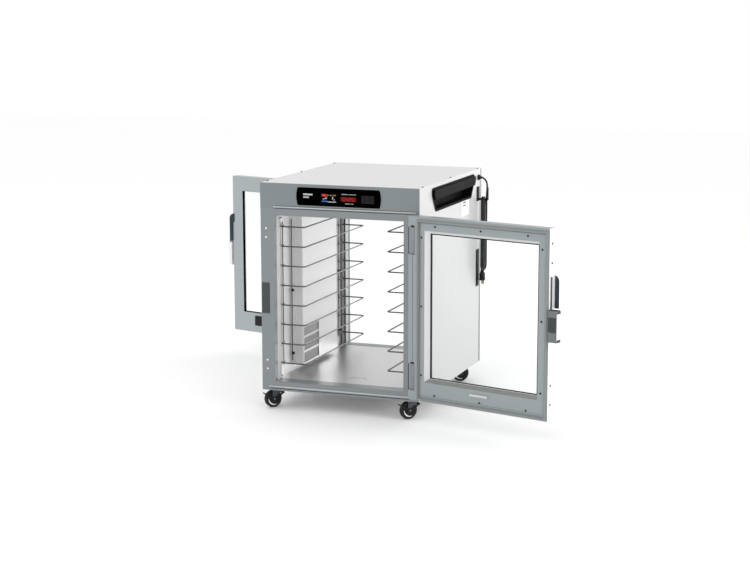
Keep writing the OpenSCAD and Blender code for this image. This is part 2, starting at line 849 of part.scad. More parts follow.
// Bevelled surround between the trim and the glass.
module door_reveal() {
    s = win_s + [-3.6, 3];
    z = win_z + [-3.8, 3.8];
    t = [trim_t, pane_in - bead_t];
    difference() {
        slab(s, t, z);
        hull() {
            slab(win_s, [t[0] - 0.1, t[0]], win_z);
            slab(win_s + [bevel, -bevel], [t[1], t[1] + 0.1], win_z + [bevel, -bevel]);
        }
    }
}

module door_glass() {
    for (t = [pane_in, pane_out])
        slab(win_s + [-3, 2.4], [t, t + glass_t], win_z + [-3, 3]);
}

// Perimeter gasket: a broad foot with a narrower tip that meets the frame.
module door_gasket() {
    s = [trim_s[0] - 2 - gasket_w, leaf_s - 2];
    z = [leaf_z + 4.6, leaf_top - 11];
    w = gasket_w;
    slab_ring(s, z, [-6, 0], s + [w, -w], z + [w, -w]);
    slab_ring(s + [3, -3], z + [3, -3], [0.5 - leaf_gap, -6], s + [w - 3, 3 - w], z + [w - 3, 3 - w]);
}

module door_latch() {
    s = [leaf_s, leaf_s + latch_w];
    z = [latch_z, latch_z + latch_h];
    difference() {
        slab(s, [4 - leaf_gap, 22], z);
        slab(s + [4, -7], [3 - leaf_gap, 6 - leaf_gap], z + [36, -27]);
    }
}

// Pull grip past the leaf's free edge, and the bumper bar under it.
module door_grip() {
    low = latch_z + latch_h + 2;
    high = low + grip_h;
    slab([leaf_s, leaf_s + 3], [12, leaf_t + 4], [low, high]);
    along = [-leaf_t / 2 - 5, -leaf_t / 2];
    along_y(along) intersection() {
        rect([-leaf_s - 20, -leaf_s + 7], [low, high]);
        union() {
            translate([-leaf_s + 6, high - 26]) circle(r = 26);
            rect([-leaf_s - 20, -leaf_s + 7], [low, high - 26]);
        }
    }
    slab([leaf_s + 9, leaf_s + 29], [22, leaf_t + 4], [latch_z + 2, latch_z + latch_h - 9]);
}

module screw(s, z) {
    translate([-s, leaf_t / 2 - 0.3, z]) rotate([-90, 0, 0]) cylinder(h = 1.8, r = screw_r);
}

// Trim screws, edge screws, the vent cover, the glazing bead and the spacer between the panes.
module door_fittings() {
    mid = (trim_s[0] + trim_s[1]) / 2 - 4;
    for (s = [mid - 215, mid, mid + 215]) {
        screw(s, trim_z[1] - 12);
        screw(s, trim_z[0] + 8);
    }
    for (z = [trim_z[0] + 86, (trim_z[0] + trim_z[1]) / 2 + 14, trim_z[1] - 60]) {
        screw(trim_s[0] + 6, z);
        screw(trim_s[1] - 14, z);
    }
    for (z = [leaf_z + 64, leaf_z + 140, leaf_top - 136, leaf_top - 60])
        rod([-leaf_s, 0, z], [-leaf_s - 1.6, 0, z], screw_r);
    slab(vent_s, [leaf_t, leaf_t + 6], vent_z);
    inner = bevel + bead_w;
    slab_ring(win_s + [-3, 2.4], win_z + [-3, 3], [pane_in - bead_t, pane_in],
        win_s + [inner, -inner], win_z + [inner, -inner]);
    slab_ring(win_s + [-3, 2.4], win_z + [-3, 3], [pane_in + glass_t, pane_out],
        win_s + [bevel, -bevel], win_z + [bevel, -bevel]);
}

module front_door_shell() {
    color("lightslategray") in_door() door_shell();
}

module front_door_trim() {
    color("lightslategray") in_door() door_trim();
}

module front_door_reveal() {
    color("white") in_door() door_reveal();
}

module front_door_glass() {
    color([0.85, 0.92, 0.95, 0.35]) in_door() door_glass();
}

module front_door_gasket() {
    color("gray") in_door() door_gasket();
}

module front_door_latch() {
    color("slategray") in_door() door_latch();
}

module front_door_grip() {
    color("darkslategray") in_door() door_grip();
}

module front_door_fittings() {
    color("black") in_door() door_fittings();
}

module rear_door_shell() {
    color("lightslategray") at_rear() in_door() door_shell();
}

module rear_door_trim() {
    color("lightslategray") at_rear() in_door() door_trim();
}

module rear_door_reveal() {
    color("white") at_rear() in_door() door_reveal();
}

module rear_door_glass() {
    color([0.85, 0.92, 0.95, 0.35]) at_rear() in_door() door_glass();
}

module rear_door_gasket() {
    color("gray") at_rear() in_door() door_gasket();
}

module rear_door_latch() {
    color("slategray") at_rear() in_door() door_latch();
}

module rear_door_grip() {
    color("darkslategray") at_rear() in_door() door_grip();
}

module rear_door_fittings() {
    color("black") at_rear() in_door() door_fittings();
}

base_panel();
side_panel_left();
side_panel_right();
top_panel();
front_frame();
rear_frame();
front_header();
breaker_strips();
liner();
floor_tray();
air_duct();
return_grille();
blower_motor();
blower_wheel();
control_panel();
display_window();
key_pad();
rack_left_slides();
rack_left_posts();
rack_right_slides();
rack_right_posts();
rack_clips();
carry_handle_left();
carry_handle_right();
strike_plates();
body_fasteners();
hinge_brackets();
cord_gland();
cord_tube();
cord_hank();
cord_tie();
power_plug();
cord_hook();
caster_plates();
caster_fork_fl();
caster_fork_fr();
caster_fork_rl();
caster_fork_rr();
caster_wheel_fl();
caster_wheel_fr();
caster_wheel_rl();
caster_wheel_rr();
brake_pedal_fl();
brake_pedal_fr();
front_door_shell();
front_door_trim();
front_door_reveal();
front_door_glass();
front_door_gasket();
front_door_latch();
front_door_grip();
front_door_fittings();
rear_door_shell();
rear_door_trim();
rear_door_reveal();
rear_door_glass();
rear_door_gasket();
rear_door_latch();
rear_door_grip();
rear_door_fittings();
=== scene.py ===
"""Finished look of a pass-through proofing cabinet: sheet-metal body, glass doors, wire slides,
control band, casters and a hung power cord. Metres, +X right, +Y to the rear, +Z up."""
import math

import bmesh
import bpy
from mathutils import Matrix, Vector


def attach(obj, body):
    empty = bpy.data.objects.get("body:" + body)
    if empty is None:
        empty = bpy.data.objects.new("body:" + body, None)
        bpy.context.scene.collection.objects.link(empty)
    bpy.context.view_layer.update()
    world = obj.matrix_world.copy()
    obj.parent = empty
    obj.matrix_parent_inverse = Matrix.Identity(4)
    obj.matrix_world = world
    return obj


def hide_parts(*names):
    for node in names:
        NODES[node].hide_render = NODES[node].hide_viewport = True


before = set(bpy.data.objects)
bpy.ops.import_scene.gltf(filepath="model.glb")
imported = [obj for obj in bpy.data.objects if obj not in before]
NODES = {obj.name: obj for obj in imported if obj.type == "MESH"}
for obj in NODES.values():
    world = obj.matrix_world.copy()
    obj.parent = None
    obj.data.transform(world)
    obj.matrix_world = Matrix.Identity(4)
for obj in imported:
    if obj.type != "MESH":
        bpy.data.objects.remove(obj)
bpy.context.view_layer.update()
MM = 0.001

BODY_W, BODY_D, BODY_H = 702.0, 866.0, 885.0
GROUND = 85.0                                    # underside of the body above the floor
AXIS_IN, AXIS_OUT, OPEN_ANGLE = 13.0, 32.0, 164.5
LEAF_T = 40.0
HINGES = (63, 625)                               # lower ends of a door's two hinges
CASTER_X, CASTER_Y = 45, 65                      # swivels from the body's sides and ends
FRONT_SWIVEL, REAR_SWIVEL = 229, 196             # how far the casters stand turned, in degrees
HALF_TURN = Matrix.Rotation(math.pi, 4, "Z")


# ------------------------------------------------------------------ places

def at(x, y, z):
    """A point given in millimetres from the body's front left lower corner."""
    return Vector(((x - BODY_W / 2) * MM, (y - BODY_D / 2) * MM, (z + GROUND) * MM))


def body_place(end="front"):
    """From the body's own frame, or from the same frame at the other end, turned half round."""
    place = Matrix.Translation(at(0, 0, 0))
    return HALF_TURN @ place if end == "rear" else place


def hinge_place(end):
    """From a frame with its origin on a door's hinge axis, level with the body's underside."""
    place = Matrix.Translation(at(BODY_W - AXIS_IN, -AXIS_OUT, 0))
    return HALF_TURN @ place if end == "rear" else place


def door_place(end):
    """From a closed leaf's own frame, origin on its hinge axis, to where it stands open."""
    return hinge_place(end) @ Matrix.Rotation(math.radians(OPEN_ANGLE), 4, "Z")


def leaf(s, t, z):
    """A point on a leaf: s along it from the hinge, t from its inner face outwards, z up."""
    return Vector((-s * MM, (LEAF_T / 2 - t) * MM, z * MM))


def caster_place(tag):
    right, rear = tag[1] == "r", tag[0] == "r"
    x = BODY_W - CASTER_X if right else CASTER_X
    y = BODY_D - CASTER_Y if rear else CASTER_Y
    turn = REAR_SWIVEL if rear else FRONT_SWIVEL
    return Matrix.Translation(at(x, y, 0)) @ Matrix.Rotation(math.radians(turn), 4, "Z")


# ------------------------------------------------------------------ camera and light

def make_camera():
    data = bpy.data.cameras.new("camera")
    data.sensor_width = 36
    data.lens = 83.94
    data.shift_x = -0.0075
    data.shift_y = 0.0063
    data.clip_end = 60
    data.dof.use_dof = False
    camera = bpy.data.objects.new("camera", data)
    bpy.context.scene.collection.objects.link(camera)
    camera.location = (2.6035, -7.0828, 1.7947)
    camera.rotation_euler = (math.radians(80.0), math.radians(0.04), math.radians(19.99))
    bpy.context.scene.camera = camera


def area_light(name, place, target, size, power):
    data = bpy.data.lights.new(name, "AREA")
    data.shape = "RECTANGLE"
    data.size, data.size_y = size
    data.energy = power
    lamp = bpy.data.objects.new(name, data)
    bpy.context.scene.collection.objects.link(lamp)
    lamp.location = place
    lamp.rotation_euler = (Vector(target) - Vector(place)).to_track_quat("-Z", "Y").to_euler()


def make_studio():
    world = bpy.data.worlds.new("studio")
    world.use_nodes = True
    sky = world.node_tree.nodes["Background"]
    sky.inputs["Color"].default_value = (1, 1, 1, 1)
    sky.inputs["Strength"].default_value = 1.0
    bpy.context.scene.world = world
    area_light("key_light", (-2.2, -4.2, 3.6), (0, 0, 0.6), (2.4, 2.4), 45)
    area_light("side_light", (4.8, -1.4, 1.6), (0.3, 0, 0.5), (1.8, 1.8), 52)
    area_light("cavity_light", (1.6, 4.6, 1.4), (-0.2, 0, 0.5), (1.6, 1.6), 45)
    bpy.context.scene.view_settings.view_transform = "Standard"
    mesh = bpy.data.meshes.new("floor")
    bm = bmesh.new()
    bmesh.ops.create_grid(bm, x_segments=1, y_segments=1, size=14)
    bm.to_mesh(mesh)
    bm.free()
    floor = bpy.data.objects.new("floor", mesh)
    bpy.context.scene.collection.objects.link(floor)
    made, _, shader = new_material("pale_floor")
    shader.inputs["Base Color"].default_value = (0.985, 0.985, 0.985, 1)
    shader.inputs["Roughness"].default_value = 0.9
    mesh.materials.append(made)


# ------------------------------------------------------------------ shared node groups

class Nodes:
    """Short way to place and wire the nodes of one tree."""

    def __init__(self, tree):
        self.tree = tree

    def add(self, kind, inputs=(), **settings):
        """A node with its settings, and its inputs set to values or wired to other nodes' outputs."""
        made = self.tree.nodes.new(kind)
        for key, value in settings.items():
            setattr(made, key, value)
        self.fill(made, dict(inputs))
        return made

    def fill(self, node, inputs):
        for key, value in inputs.items():
            if isinstance(value, bpy.types.NodeSocket):
                self.tree.links.new(value, node.inputs[key])
            else:
                node.inputs[key].default_value = value


KINDS = {"vector": "NodeSocketVector", "colour": "NodeSocketColor", "value": "NodeSocketFloat",
         "count": "NodeSocketInt", "object": "NodeSocketObject", "material": "NodeSocketMaterial",
         "geometry": "NodeSocketGeometry"}


def new_tree(name, kind, inputs, outputs):
    """A node tree with named sockets: its wiring helper, its inputs' sockets and its output node."""
    tree = bpy.data.node_groups.new(name, kind)
    for label, sort, value in inputs:
        socket = tree.interface.new_socket(label, in_out="INPUT", socket_type=KINDS[sort])
        if value is not None:
            socket.default_value = value
    for label, sort in outputs:
        tree.interface.new_socket(label, in_out="OUTPUT", socket_type=KINDS[sort])
    n = Nodes(tree)
    return n, n.add("NodeGroupInput").outputs, n.add("NodeGroupOutput")


def cloudiness_group():
    """Slow change of tone and gloss over a surface, as handling and cleaning leave."""
    n, given, out = new_tree("cloudiness", "ShaderNodeTree", [
        ("Vector", "vector", None), ("Color", "colour", (0.8, 0.8, 0.8, 1)), ("Size", "value", 6.0),
        ("Tone", "value", 0.04), ("Roughness", "value", 0.4), ("Gloss change", "value", 0.08)],
        [("Color", "colour"), ("Roughness", "value")])
    noise = n.add("ShaderNodeTexNoise", {"Vector": given["Vector"], "Scale": given["Size"], "Detail": 5,
                                         "Roughness": 0.6})
    centred = n.add("ShaderNodeMath", {0: noise.outputs["Fac"], 1: 0.5}, operation="SUBTRACT").outputs[0]
    tone = n.add("ShaderNodeMath", {0: centred, 1: given["Tone"], 2: 1.0}, operation="MULTIPLY_ADD")
    scaled = n.add("ShaderNodeVectorMath", {0: given["Color"], "Scale": tone.outputs[0]}, operation="SCALE")
    gloss = n.add("ShaderNodeMath", {0: centred, 1: given["Gloss change"], 2: given["Roughness"]},
                  operation="MULTIPLY_ADD", use_clamp=True)
    n.fill(out, {"Color": scaled.outputs["Vector"], "Roughness": gloss.outputs[0]})
    return n.tree


def brushed_group():
    """Fine parallel scratches. Stretch gives the scale along each axis."""
    n, given, out = new_tree("brushed_lines", "ShaderNodeTree", [
        ("Vector", "vector", None), ("Stretch", "vector", (1, 1, 60)), ("Scale", "value", 22.0)],
        [("Height", "value")])
    stretch = n.add("ShaderNodeVectorMath", {0: given["Vector"], 1: given["Stretch"]}, operation="MULTIPLY")
    noise = n.add("ShaderNodeTexNoise", {"Vector": stretch.outputs["Vector"], "Scale": given["Scale"],
                                         "Detail": 4, "Roughness": 0.7})
    n.fill(out, {"Height": noise.outputs["Fac"]})
    return n.tree


def grain_group():
    """Moulded plastic or powder-coat grain: small cells over a finer noise."""
    n, given, out = new_tree("fine_grain", "ShaderNodeTree", [
        ("Vector", "vector", None), ("Scale", "value", 900.0), ("Softness", "value", 0.5)],
        [("Height", "value")])
    place = {"Vector": given["Vector"], "Scale": given["Scale"]}
    cells = n.add("ShaderNodeTexVoronoi", place)
    noise = n.add("ShaderNodeTexNoise", {**place, "Detail": 2})
    mix = n.add("ShaderNodeMix", {"Factor": given["Softness"], "A": cells.outputs["Distance"],
                                  "B": noise.outputs["Fac"]}, data_type="FLOAT")
    n.fill(out, {"Height": mix.outputs["Result"]})
    return n.tree


def blend_colours(n, mask, plain, other):
    """Nodes that take a colour from plain to other where the mask is 1."""
    mix = n.add("ShaderNodeMix", data_type="RGBA")
    n.fill(mix, {"Factor": mask, "A": plain, "B": other})
    return mix.outputs["Result"]


def scuff_group():
    """Sparse short rubs that lighten a surface where it is handled."""
    n, given, out = new_tree("scuffs", "ShaderNodeTree", [
        ("Vector", "vector", None), ("Color", "colour", (0.1, 0.1, 0.1, 1)),
        ("Rubbed color", "colour", (0.3, 0.3, 0.3, 1)), ("Scale", "value", 30.0), ("Amount", "value", 0.3)],
        [("Color", "colour")])
    noise = n.add("ShaderNodeTexNoise", {"Vector": given["Vector"], "Scale": given["Scale"], "Detail": 8,
                                         "Roughness": 0.75})
    step = n.add("ShaderNodeMapRange", {"Value": noise.outputs["Fac"], "From Min": 0.58, "From Max": 0.72})
    mask = n.add("ShaderNodeMath", {0: step.outputs["Result"], 1: given["Amount"]}, operation="MULTIPLY")
    n.fill(out, {"Color": blend_colours(n, mask.outputs[0], given["Color"], given["Rubbed color"])})
    return n.tree


def painted_highlight_group():
    """Painted highlight: lightens the faces that point one way, standing in for light falling on that side.
    """
    n, given, out = new_tree("polished_ends", "ShaderNodeTree", [
        ("Normal", "vector", None), ("Way", "vector", (1, 0, 0)), ("Color", "colour", (0.4, 0.4, 0.4, 1)),
        ("Polished color", "colour", (0.9, 0.9, 0.9, 1))], [("Color", "colour")])
    dot = n.add("ShaderNodeVectorMath", {0: given["Normal"], 1: given["Way"]}, operation="DOT_PRODUCT")
    step = n.add("ShaderNodeMapRange", {"Value": dot.outputs["Value"], "From Min": 0.75, "From Max": 0.9})
    n.fill(out, {"Color": blend_colours(n, step.outputs["Result"], given["Color"], given["Polished color"])})
    return n.tree


CLOUD, BRUSHED, GRAIN = cloudiness_group(), brushed_group(), grain_group()
SCUFF, PAINTED_HIGHLIGHT = scuff_group(), painted_highlight_group()


# ------------------------------------------------------------------ materials

def new_material(name):
    made = bpy.data.materials.new(name)
    made.use_nodes = True
    return made, Nodes(made.node_tree), made.node_tree.nodes["Principled BSDF"]


def cloudy(n, place, colour, size, tone, roughness, gloss_change):
    """The cloudiness group, set up: sockets of the colour and the roughness it gives."""
    made = n.add("ShaderNodeGroup", node_tree=CLOUD)
    n.fill(made, {"Vector": place, "Color": (*colour, 1), "Size": size, "Tone": tone, "Roughness": roughness,
                  "Gloss change": gloss_change})
    return made.outputs["Color"], made.outputs["Roughness"]


def bumped(n, shared, inputs, strength, distance, normal):
    """A bump from one of the shared groups, on top of an earlier normal if there is one."""
    relief = n.add("ShaderNodeGroup", node_tree=shared)
    n.fill(relief, inputs)
    bump = n.add("ShaderNodeBump", {"Strength": strength, "Distance": distance,
                                    "Height": relief.outputs["Height"]})
    if normal:
        n.fill(bump, {"Normal": normal})
    return bump.outputs["Normal"]


def finish(name, colour, roughness, metallic=0.0, tone=0.05, cloud=6.0, brushed=None, brushed_bump=0.1,
           grain=None, grain_bump=0.1, rubbed=None, rub=0.3, specular=0.5, highlight_way=None):
    """A finish from the shared groups: cloudy tone, brushed lines or grain, rubbed places, and a painted
    highlight on the faces that point the way of the given vector."""
    made, n, shader = new_material(name)
    shader.inputs["Metallic"].default_value = metallic
    shader.inputs["Specular IOR Level"].default_value = specular
    place = n.add("ShaderNodeTexCoord").outputs["Object"]
    tint, gloss = cloudy(n, place, colour, cloud, tone, roughness, 0.1)
    if rubbed:
        rubs = n.add("ShaderNodeGroup", node_tree=SCUFF)
        n.fill(rubs, {"Vector": place, "Color": tint, "Rubbed color": (*rubbed, 1), "Amount": rub})
        tint = rubs.outputs["Color"]
    # Painted highlight: faces that point the given way are lightened, as if a side light falls on them.
    if highlight_way:
        ends = n.add("ShaderNodeGroup", node_tree=PAINTED_HIGHLIGHT)
        n.fill(ends, {"Normal": n.add("ShaderNodeTexCoord").outputs["Normal"], "Color": tint, "Way": highlight_way,
                      "Polished color": (0.95, 0.955, 0.96, 1)})
        tint = ends.outputs["Color"]
    n.fill(shader, {"Base Color": tint, "Roughness": gloss})
    normal = None
    if brushed:
        normal = bumped(n, BRUSHED, {"Vector": place, "Stretch": brushed}, brushed_bump, 0.0004, normal)
    if grain:
        normal = bumped(n, GRAIN, {"Vector": place, "Scale": grain}, grain_bump, 0.0003, normal)
    if normal:
        n.fill(shader, {"Normal": normal})
    return made


def glass_material():
    """Clear pane with the faint green of its edge and slight smears in its gloss."""
    made, n, shader = new_material("pane_glass")
    shader.inputs["Transmission Weight"].default_value = 1.0
    shader.inputs["IOR"].default_value = 1.05
    place = n.add("ShaderNodeTexCoord").outputs["Object"]
    tint, gloss = cloudy(n, place, (0.985, 0.995, 0.99), 9.0, 0.01, 0.01, 0.02)
    n.fill(shader, {"Base Color": tint, "Roughness": gloss})
    return made


def lamp_material(name, colour, strength):
    """A glowing mark on the control panel, a little uneven. The diodes are lit; the pale print is given a
    painted glow.
    """
    made, n, shader = new_material(name)
    shader.inputs["Roughness"].default_value = 0.3
    shader.inputs["Emission Strength"].default_value = strength
    tint = cloudy(n, n.add("ShaderNodeTexCoord").outputs["Object"], colour, 220.0, 0.5, 0.3, 0.1)[0]
    n.fill(shader, {"Base Color": tint, "Emission Color": tint})
    return made


def free_edge(end):
    """The way an open leaf's free edge faces."""
    turn = math.radians(OPEN_ANGLE)
    way = 1 if end == "front" else -1
    return [-math.cos(turn) * way, -math.sin(turn) * way, 0]


# Sheet metal and extrusions, brushed along their length.
PANEL = finish("brushed_side_sheet", (0.60, 0.60, 0.602), 0.42, metallic=0.1, tone=0.03,
               brushed=(2, 2, 90), brushed_bump=0.04)
# The top sheet is painted a tenth lighter than the side sheets: painted light, for the light that falls on
# the top.
TOP = finish("brushed_top_sheet", (0.66, 0.66, 0.662), 0.45, metallic=0.1, tone=0.03,
             brushed=(2, 70, 2), brushed_bump=0.04)
FRAME = finish("grey_anodised", (0.22, 0.243, 0.25), 0.34, metallic=0.5,
               brushed=(60, 2, 3), brushed_bump=0.05)
HEADER = finish("grey_anodised_band", (0.20, 0.224, 0.23), 0.36, metallic=0.45,
                brushed=(3, 3, 80), brushed_bump=0.05)
# Both doors are the same grey anodised metal. The rear door's grey is painted lighter than the front's:
# painted light, where the key light falls on the open rear door. Both also get a painted highlight on the
# faces towards their free edges.
DOOR_GREYS_PAINTED_LIGHT = {"front": (0.295, 0.325, 0.335), "rear": (0.38, 0.415, 0.425)}
DOORS = {end: finish("grey_anodised_%s_door" % end, grey, 0.34, metallic=0.45, brushed=(60, 60, 3),
                     brushed_bump=0.05, highlight_way=free_edge(end)) for end, grey in DOOR_GREYS_PAINTED_LIGHT.items()}
# The rolled beads are painted lighter than the frame metal they belong to: a painted highlight along each
# bead.
BEAD_HIGHLIGHT = finish("rolled_bead", (0.36, 0.38, 0.39), 0.3, metallic=0.6, brushed=(3, 60, 60), brushed_bump=0.04)
LINER = finish("satin_liner", (0.80, 0.80, 0.80), 0.36, metallic=0.4, tone=0.03,
               brushed=(3, 3, 90), brushed_bump=0.03)
TRAY = finish("satin_floor", (0.60, 0.60, 0.60), 0.34, metallic=0.9, tone=0.03, cloud=3.0,
              brushed=(90, 3, 3), brushed_bump=0.03)
DUCT = finish("satin_duct", (0.88, 0.88, 0.88), 0.36, metallic=0.4, tone=0.03,
              brushed=(3, 80, 3), brushed_bump=0.03)
# The louvres are the same aluminium as the grille's bright bars, painted near black: painted shade in the
# slots between the bars.
LOUVRE_SHADE = finish("grille_aluminium", (0.13, 0.13, 0.13), 0.45, metallic=0.4, tone=0.06,
                brushed=(3, 80, 3), brushed_bump=0.05)
BAR = finish("grille_bar_bright", (0.85, 0.85, 0.85), 0.35, metallic=0.3, tone=0.04,
             brushed=(3, 80, 3), brushed_bump=0.05)
BRIGHT = finish("bright_plate", (0.84, 0.84, 0.85), 0.32, metallic=0.3,
                brushed=(70, 70, 3), brushed_bump=0.08)
LEDGE = finish("grey_ledge", (0.27, 0.275, 0.265), 0.4, metallic=0.3, tone=0.06,
               brushed=(60, 3, 3), brushed_bump=0.05)
HINGE = finish("hinge_aluminium", (0.27, 0.29, 0.30), 0.34, metallic=0.5, tone=0.06,
               brushed=(4, 4, 70), brushed_bump=0.06)
# Plastics, rubber and print.
BREAKER = finish("white_breaker", (0.74, 0.74, 0.73), 0.5, grain=700, grain_bump=0.05)
REVEAL = finish("window_surround", (0.76, 0.77, 0.78), 0.45, tone=0.03, grain=800, grain_bump=0.04)
RUBBER = finish("gasket_rubber", (0.22, 0.235, 0.24), 0.6, tone=0.1, grain=900, grain_bump=0.15)
BLACK = finish("black_moulding", (0.008, 0.008, 0.009), 0.5, tone=0.3, grain=900, grain_bump=0.2,
               rubbed=(0.03, 0.03, 0.03), rub=0.2, specular=0.25)
HANDLE = finish("handle_moulding", (0.006, 0.006, 0.0065), 0.6, tone=0.15, grain=1000, grain_bump=0.2,
                rubbed=(0.02, 0.02, 0.02), rub=0.2, specular=0.03)
CONTROL = finish("control_black", (0.0006, 0.0006, 0.0007), 0.6, tone=0.2, grain=1400, grain_bump=0.02,
                 specular=0.0)
FILTER = finish("display_filter", (0.12, 0.003, 0.002), 0.4, tone=0.2, grain=1400, grain_bump=0.02,
                specular=0.1)
KEYS = finish("membrane_keys", (0.006, 0.0065, 0.0075), 0.6, tone=0.15, grain=1200, grain_bump=0.1,
              specular=0.1)
KEY_PRINT = finish("key_print", (0.035, 0.04, 0.043), 0.5, tone=0.1, grain=1200, grain_bump=0.05,
                   specular=0.1)
SLATE = finish("slate_plate", (0.06, 0.068, 0.07), 0.5, metallic=0.1, tone=0.1, grain=800, grain_bump=0.1,
               rubbed=(0.12, 0.12, 0.13), rub=0.2, specular=0.2)
# Both latches are one grey; each gets a painted highlight on the faces towards its door's free edge.
LATCHES = {end: finish("latch_grey_%s" % end, (0.15, 0.165, 0.175), 0.45, metallic=0.1, tone=0.08, grain=800,
                       grain_bump=0.1, highlight_way=free_edge(end), specular=0.3) for end in ("front", "rear")}
NAVY = finish("grip_flange", (0.020, 0.028, 0.040), 0.45, tone=0.15, grain=900, grain_bump=0.1,
              rubbed=(0.06, 0.07, 0.08), rub=0.25, specular=0.3)
PLATE = finish("plain_plate", (0.55, 0.55, 0.53), 0.45, tone=0.04, grain=1200, grain_bump=0.04)
WHITE = finish("white_insert", (0.82, 0.82, 0.81), 0.4, tone=0.04, grain=900, grain_bump=0.05)
LABEL = finish("blank_label", (0.86, 0.86, 0.855), 0.5, tone=0.02, grain=1500, grain_bump=0.02)
TREAD = finish("tyre_rubber", (0.014, 0.014, 0.015), 0.62, tone=0.3, grain=600, grain_bump=0.25,
               rubbed=(0.05, 0.05, 0.048), rub=0.4, specular=0.25)
HUB = finish("hub_plastic", (0.010, 0.010, 0.011), 0.5, tone=0.15, grain=900, grain_bump=0.15, specular=0.3)
CORD = finish("cord_jacket", (0.008, 0.008, 0.010), 0.42, tone=0.3, cloud=50.0, grain=1500, grain_bump=0.15,
              rubbed=(0.04, 0.04, 0.04), rub=0.3, specular=0.35)
STRAP = finish("woven_strap", (0.015, 0.015, 0.017), 0.85, tone=0.2, grain=1400, grain_bump=0.6, specular=0.2)
# Wire, screws and small metal parts.
WIRE = finish("plated_wire", (0.10, 0.098, 0.095), 0.34, metallic=0.6, tone=0.15, cloud=30.0,
              brushed=(90, 5, 90), brushed_bump=0.05)
ZINC = finish("dark_zinc", (0.060, 0.072, 0.082), 0.36, metallic=0.6, tone=0.15, cloud=40.0,
              rubbed=(0.3, 0.31, 0.33), rub=0.4)
STEEL = finish("screw_steel", (0.018, 0.018, 0.02), 0.45, metallic=0.3, tone=0.15, cloud=60.0,
               rubbed=(0.12, 0.12, 0.12), rub=0.3, specular=0.2)
BRASS = finish("contact_metal", (0.45, 0.42, 0.34), 0.28, metallic=1.0, tone=0.1, cloud=60.0)
MOTOR = finish("motor_enamel", (0.03, 0.03, 0.033), 0.4, tone=0.15, grain=500, grain_bump=0.1)
GLASS = glass_material()
RED = lamp_material("red_diodes", (0.40, 0.004, 0.003), 0.42)
AMBER = lamp_material("amber_diodes", (0.20, 0.13, 0.012), 0.2)
GREEN = lamp_material("green_diodes", (0.03, 0.22, 0.05), 0.35)
BLUE = lamp_material("blue_diodes", (0.012, 0.09, 0.30), 0.3)
# The pale marks are print on the panel, given a weak glow: painted light.
PALE_PRINT_GLOW = lamp_material("pale_marks", (0.30, 0.32, 0.33), 0.3)


# ------------------------------------------------------------------ mesh helpers

def add_piece(name, mesh, body, material, replaces=()):
    """Links a finished mesh as a piece that rides on a body."""
    piece = bpy.data.objects.new(name, mesh)
    bpy.context.scene.collection.objects.link(piece)
    mesh.materials.clear()
    mesh.materials.append(material)
    if replaces:
        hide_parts(*replaces)
    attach(piece, body)
    return piece


def shaded(mesh, angle=32):
    """The mesh with smooth faces, and edges sharper than the angle kept crisp."""
    bm = bmesh.new()
    bm.from_mesh(mesh)
    limit = math.radians(angle)
    for face in bm.faces:
        face.smooth = True
    for edge in bm.edges:
        edge.smooth = len(edge.link_faces) == 2 and edge.calc_face_angle(0) < limit
    bm.to_mesh(mesh)
    bm.free()
    return mesh


def evaluated(obj):
    """The object's mesh with its modifiers applied, as a new mesh."""
    graph = bpy.context.evaluated_depsgraph_get()
    return bpy.data.meshes.new_from_object(obj.evaluated_get(graph))


def bevelled(mesh, width, segments=2, angle=30):
    """The mesh with its edges rounded and its flat faces kept flat to the light."""
    for face in mesh.polygons:
        face.use_smooth = True
    work = bpy.data.objects.new("work", mesh)
    bpy.context.scene.collection.objects.link(work)
    bevel = work.modifiers.new("bevel", "BEVEL")
    bevel.width = width * MM
    bevel.segments = segments
    bevel.limit_method = "ANGLE"
    bevel.angle_limit = math.radians(angle)
    bevel.miter_outer = "MITER_ARC"
    even = work.modifiers.new("even", "WEIGHTED_NORMAL")
    even.keep_sharp = True
    even.weight = 90
    bpy.context.view_layer.update()
    result = evaluated(work)
    bpy.data.objects.remove(work)
    return result


def softened(node, body, material, width=0.5, segments=2):
    """A CAD piece with its edges broken, in place of the plain one."""
    bm = bmesh.new()
    bm.from_mesh(NODES[node].data)
    bmesh.ops.remove_doubles(bm, verts=bm.verts, dist=2e-6)
    mesh = bpy.data.meshes.new(node + "_finish")
    bm.to_mesh(mesh)
    bm.free()
    mesh = bevelled(mesh, width, segments)
    add_piece(node + "_finish", mesh, body, material, [node])


def paint(node, material):
    NODES[node].data.materials.clear()
    NODES[node].data.materials.append(material)


def mesh_from(name, parts, place=None):
    """One mesh from (points, faces) parts."""
    bm = bmesh.new()
    for points, faces in parts:
        made = [bm.verts.new(p) for p in points]
        for face in faces:
            bm.faces.new([made[i] for i in face])
    bmesh.ops.recalc_face_normals(bm, faces=bm.faces)
    if place:
        bm.transform(place)
    mesh = bpy.data.meshes.new(name)
    bm.to_mesh(mesh)
    bm.free()
    return mesh


def around(sides):
    """(cosine, sine) of each corner of a ring."""
    return [(math.cos(2 * math.pi * k / sides), math.sin(2 * math.pi * k / sides)) for k in range(sides)]


def band_faces(rings, sides, closed=False):
    """Faces between neighbouring rings of points, and between the last and the first if closed."""
    faces = []
    for i in range(rings if closed else rings - 1):
        j = (i + 1) % rings
        for k in range(sides):
            m = (k + 1) % sides
            faces.append((i * sides + k, i * sides + m, j * sides + m, j * sides + k))
    return faces


def cap_faces(rings, sides):
    return [tuple(range(sides)), tuple((rings - 1) * sides + k for k in range(sides))]


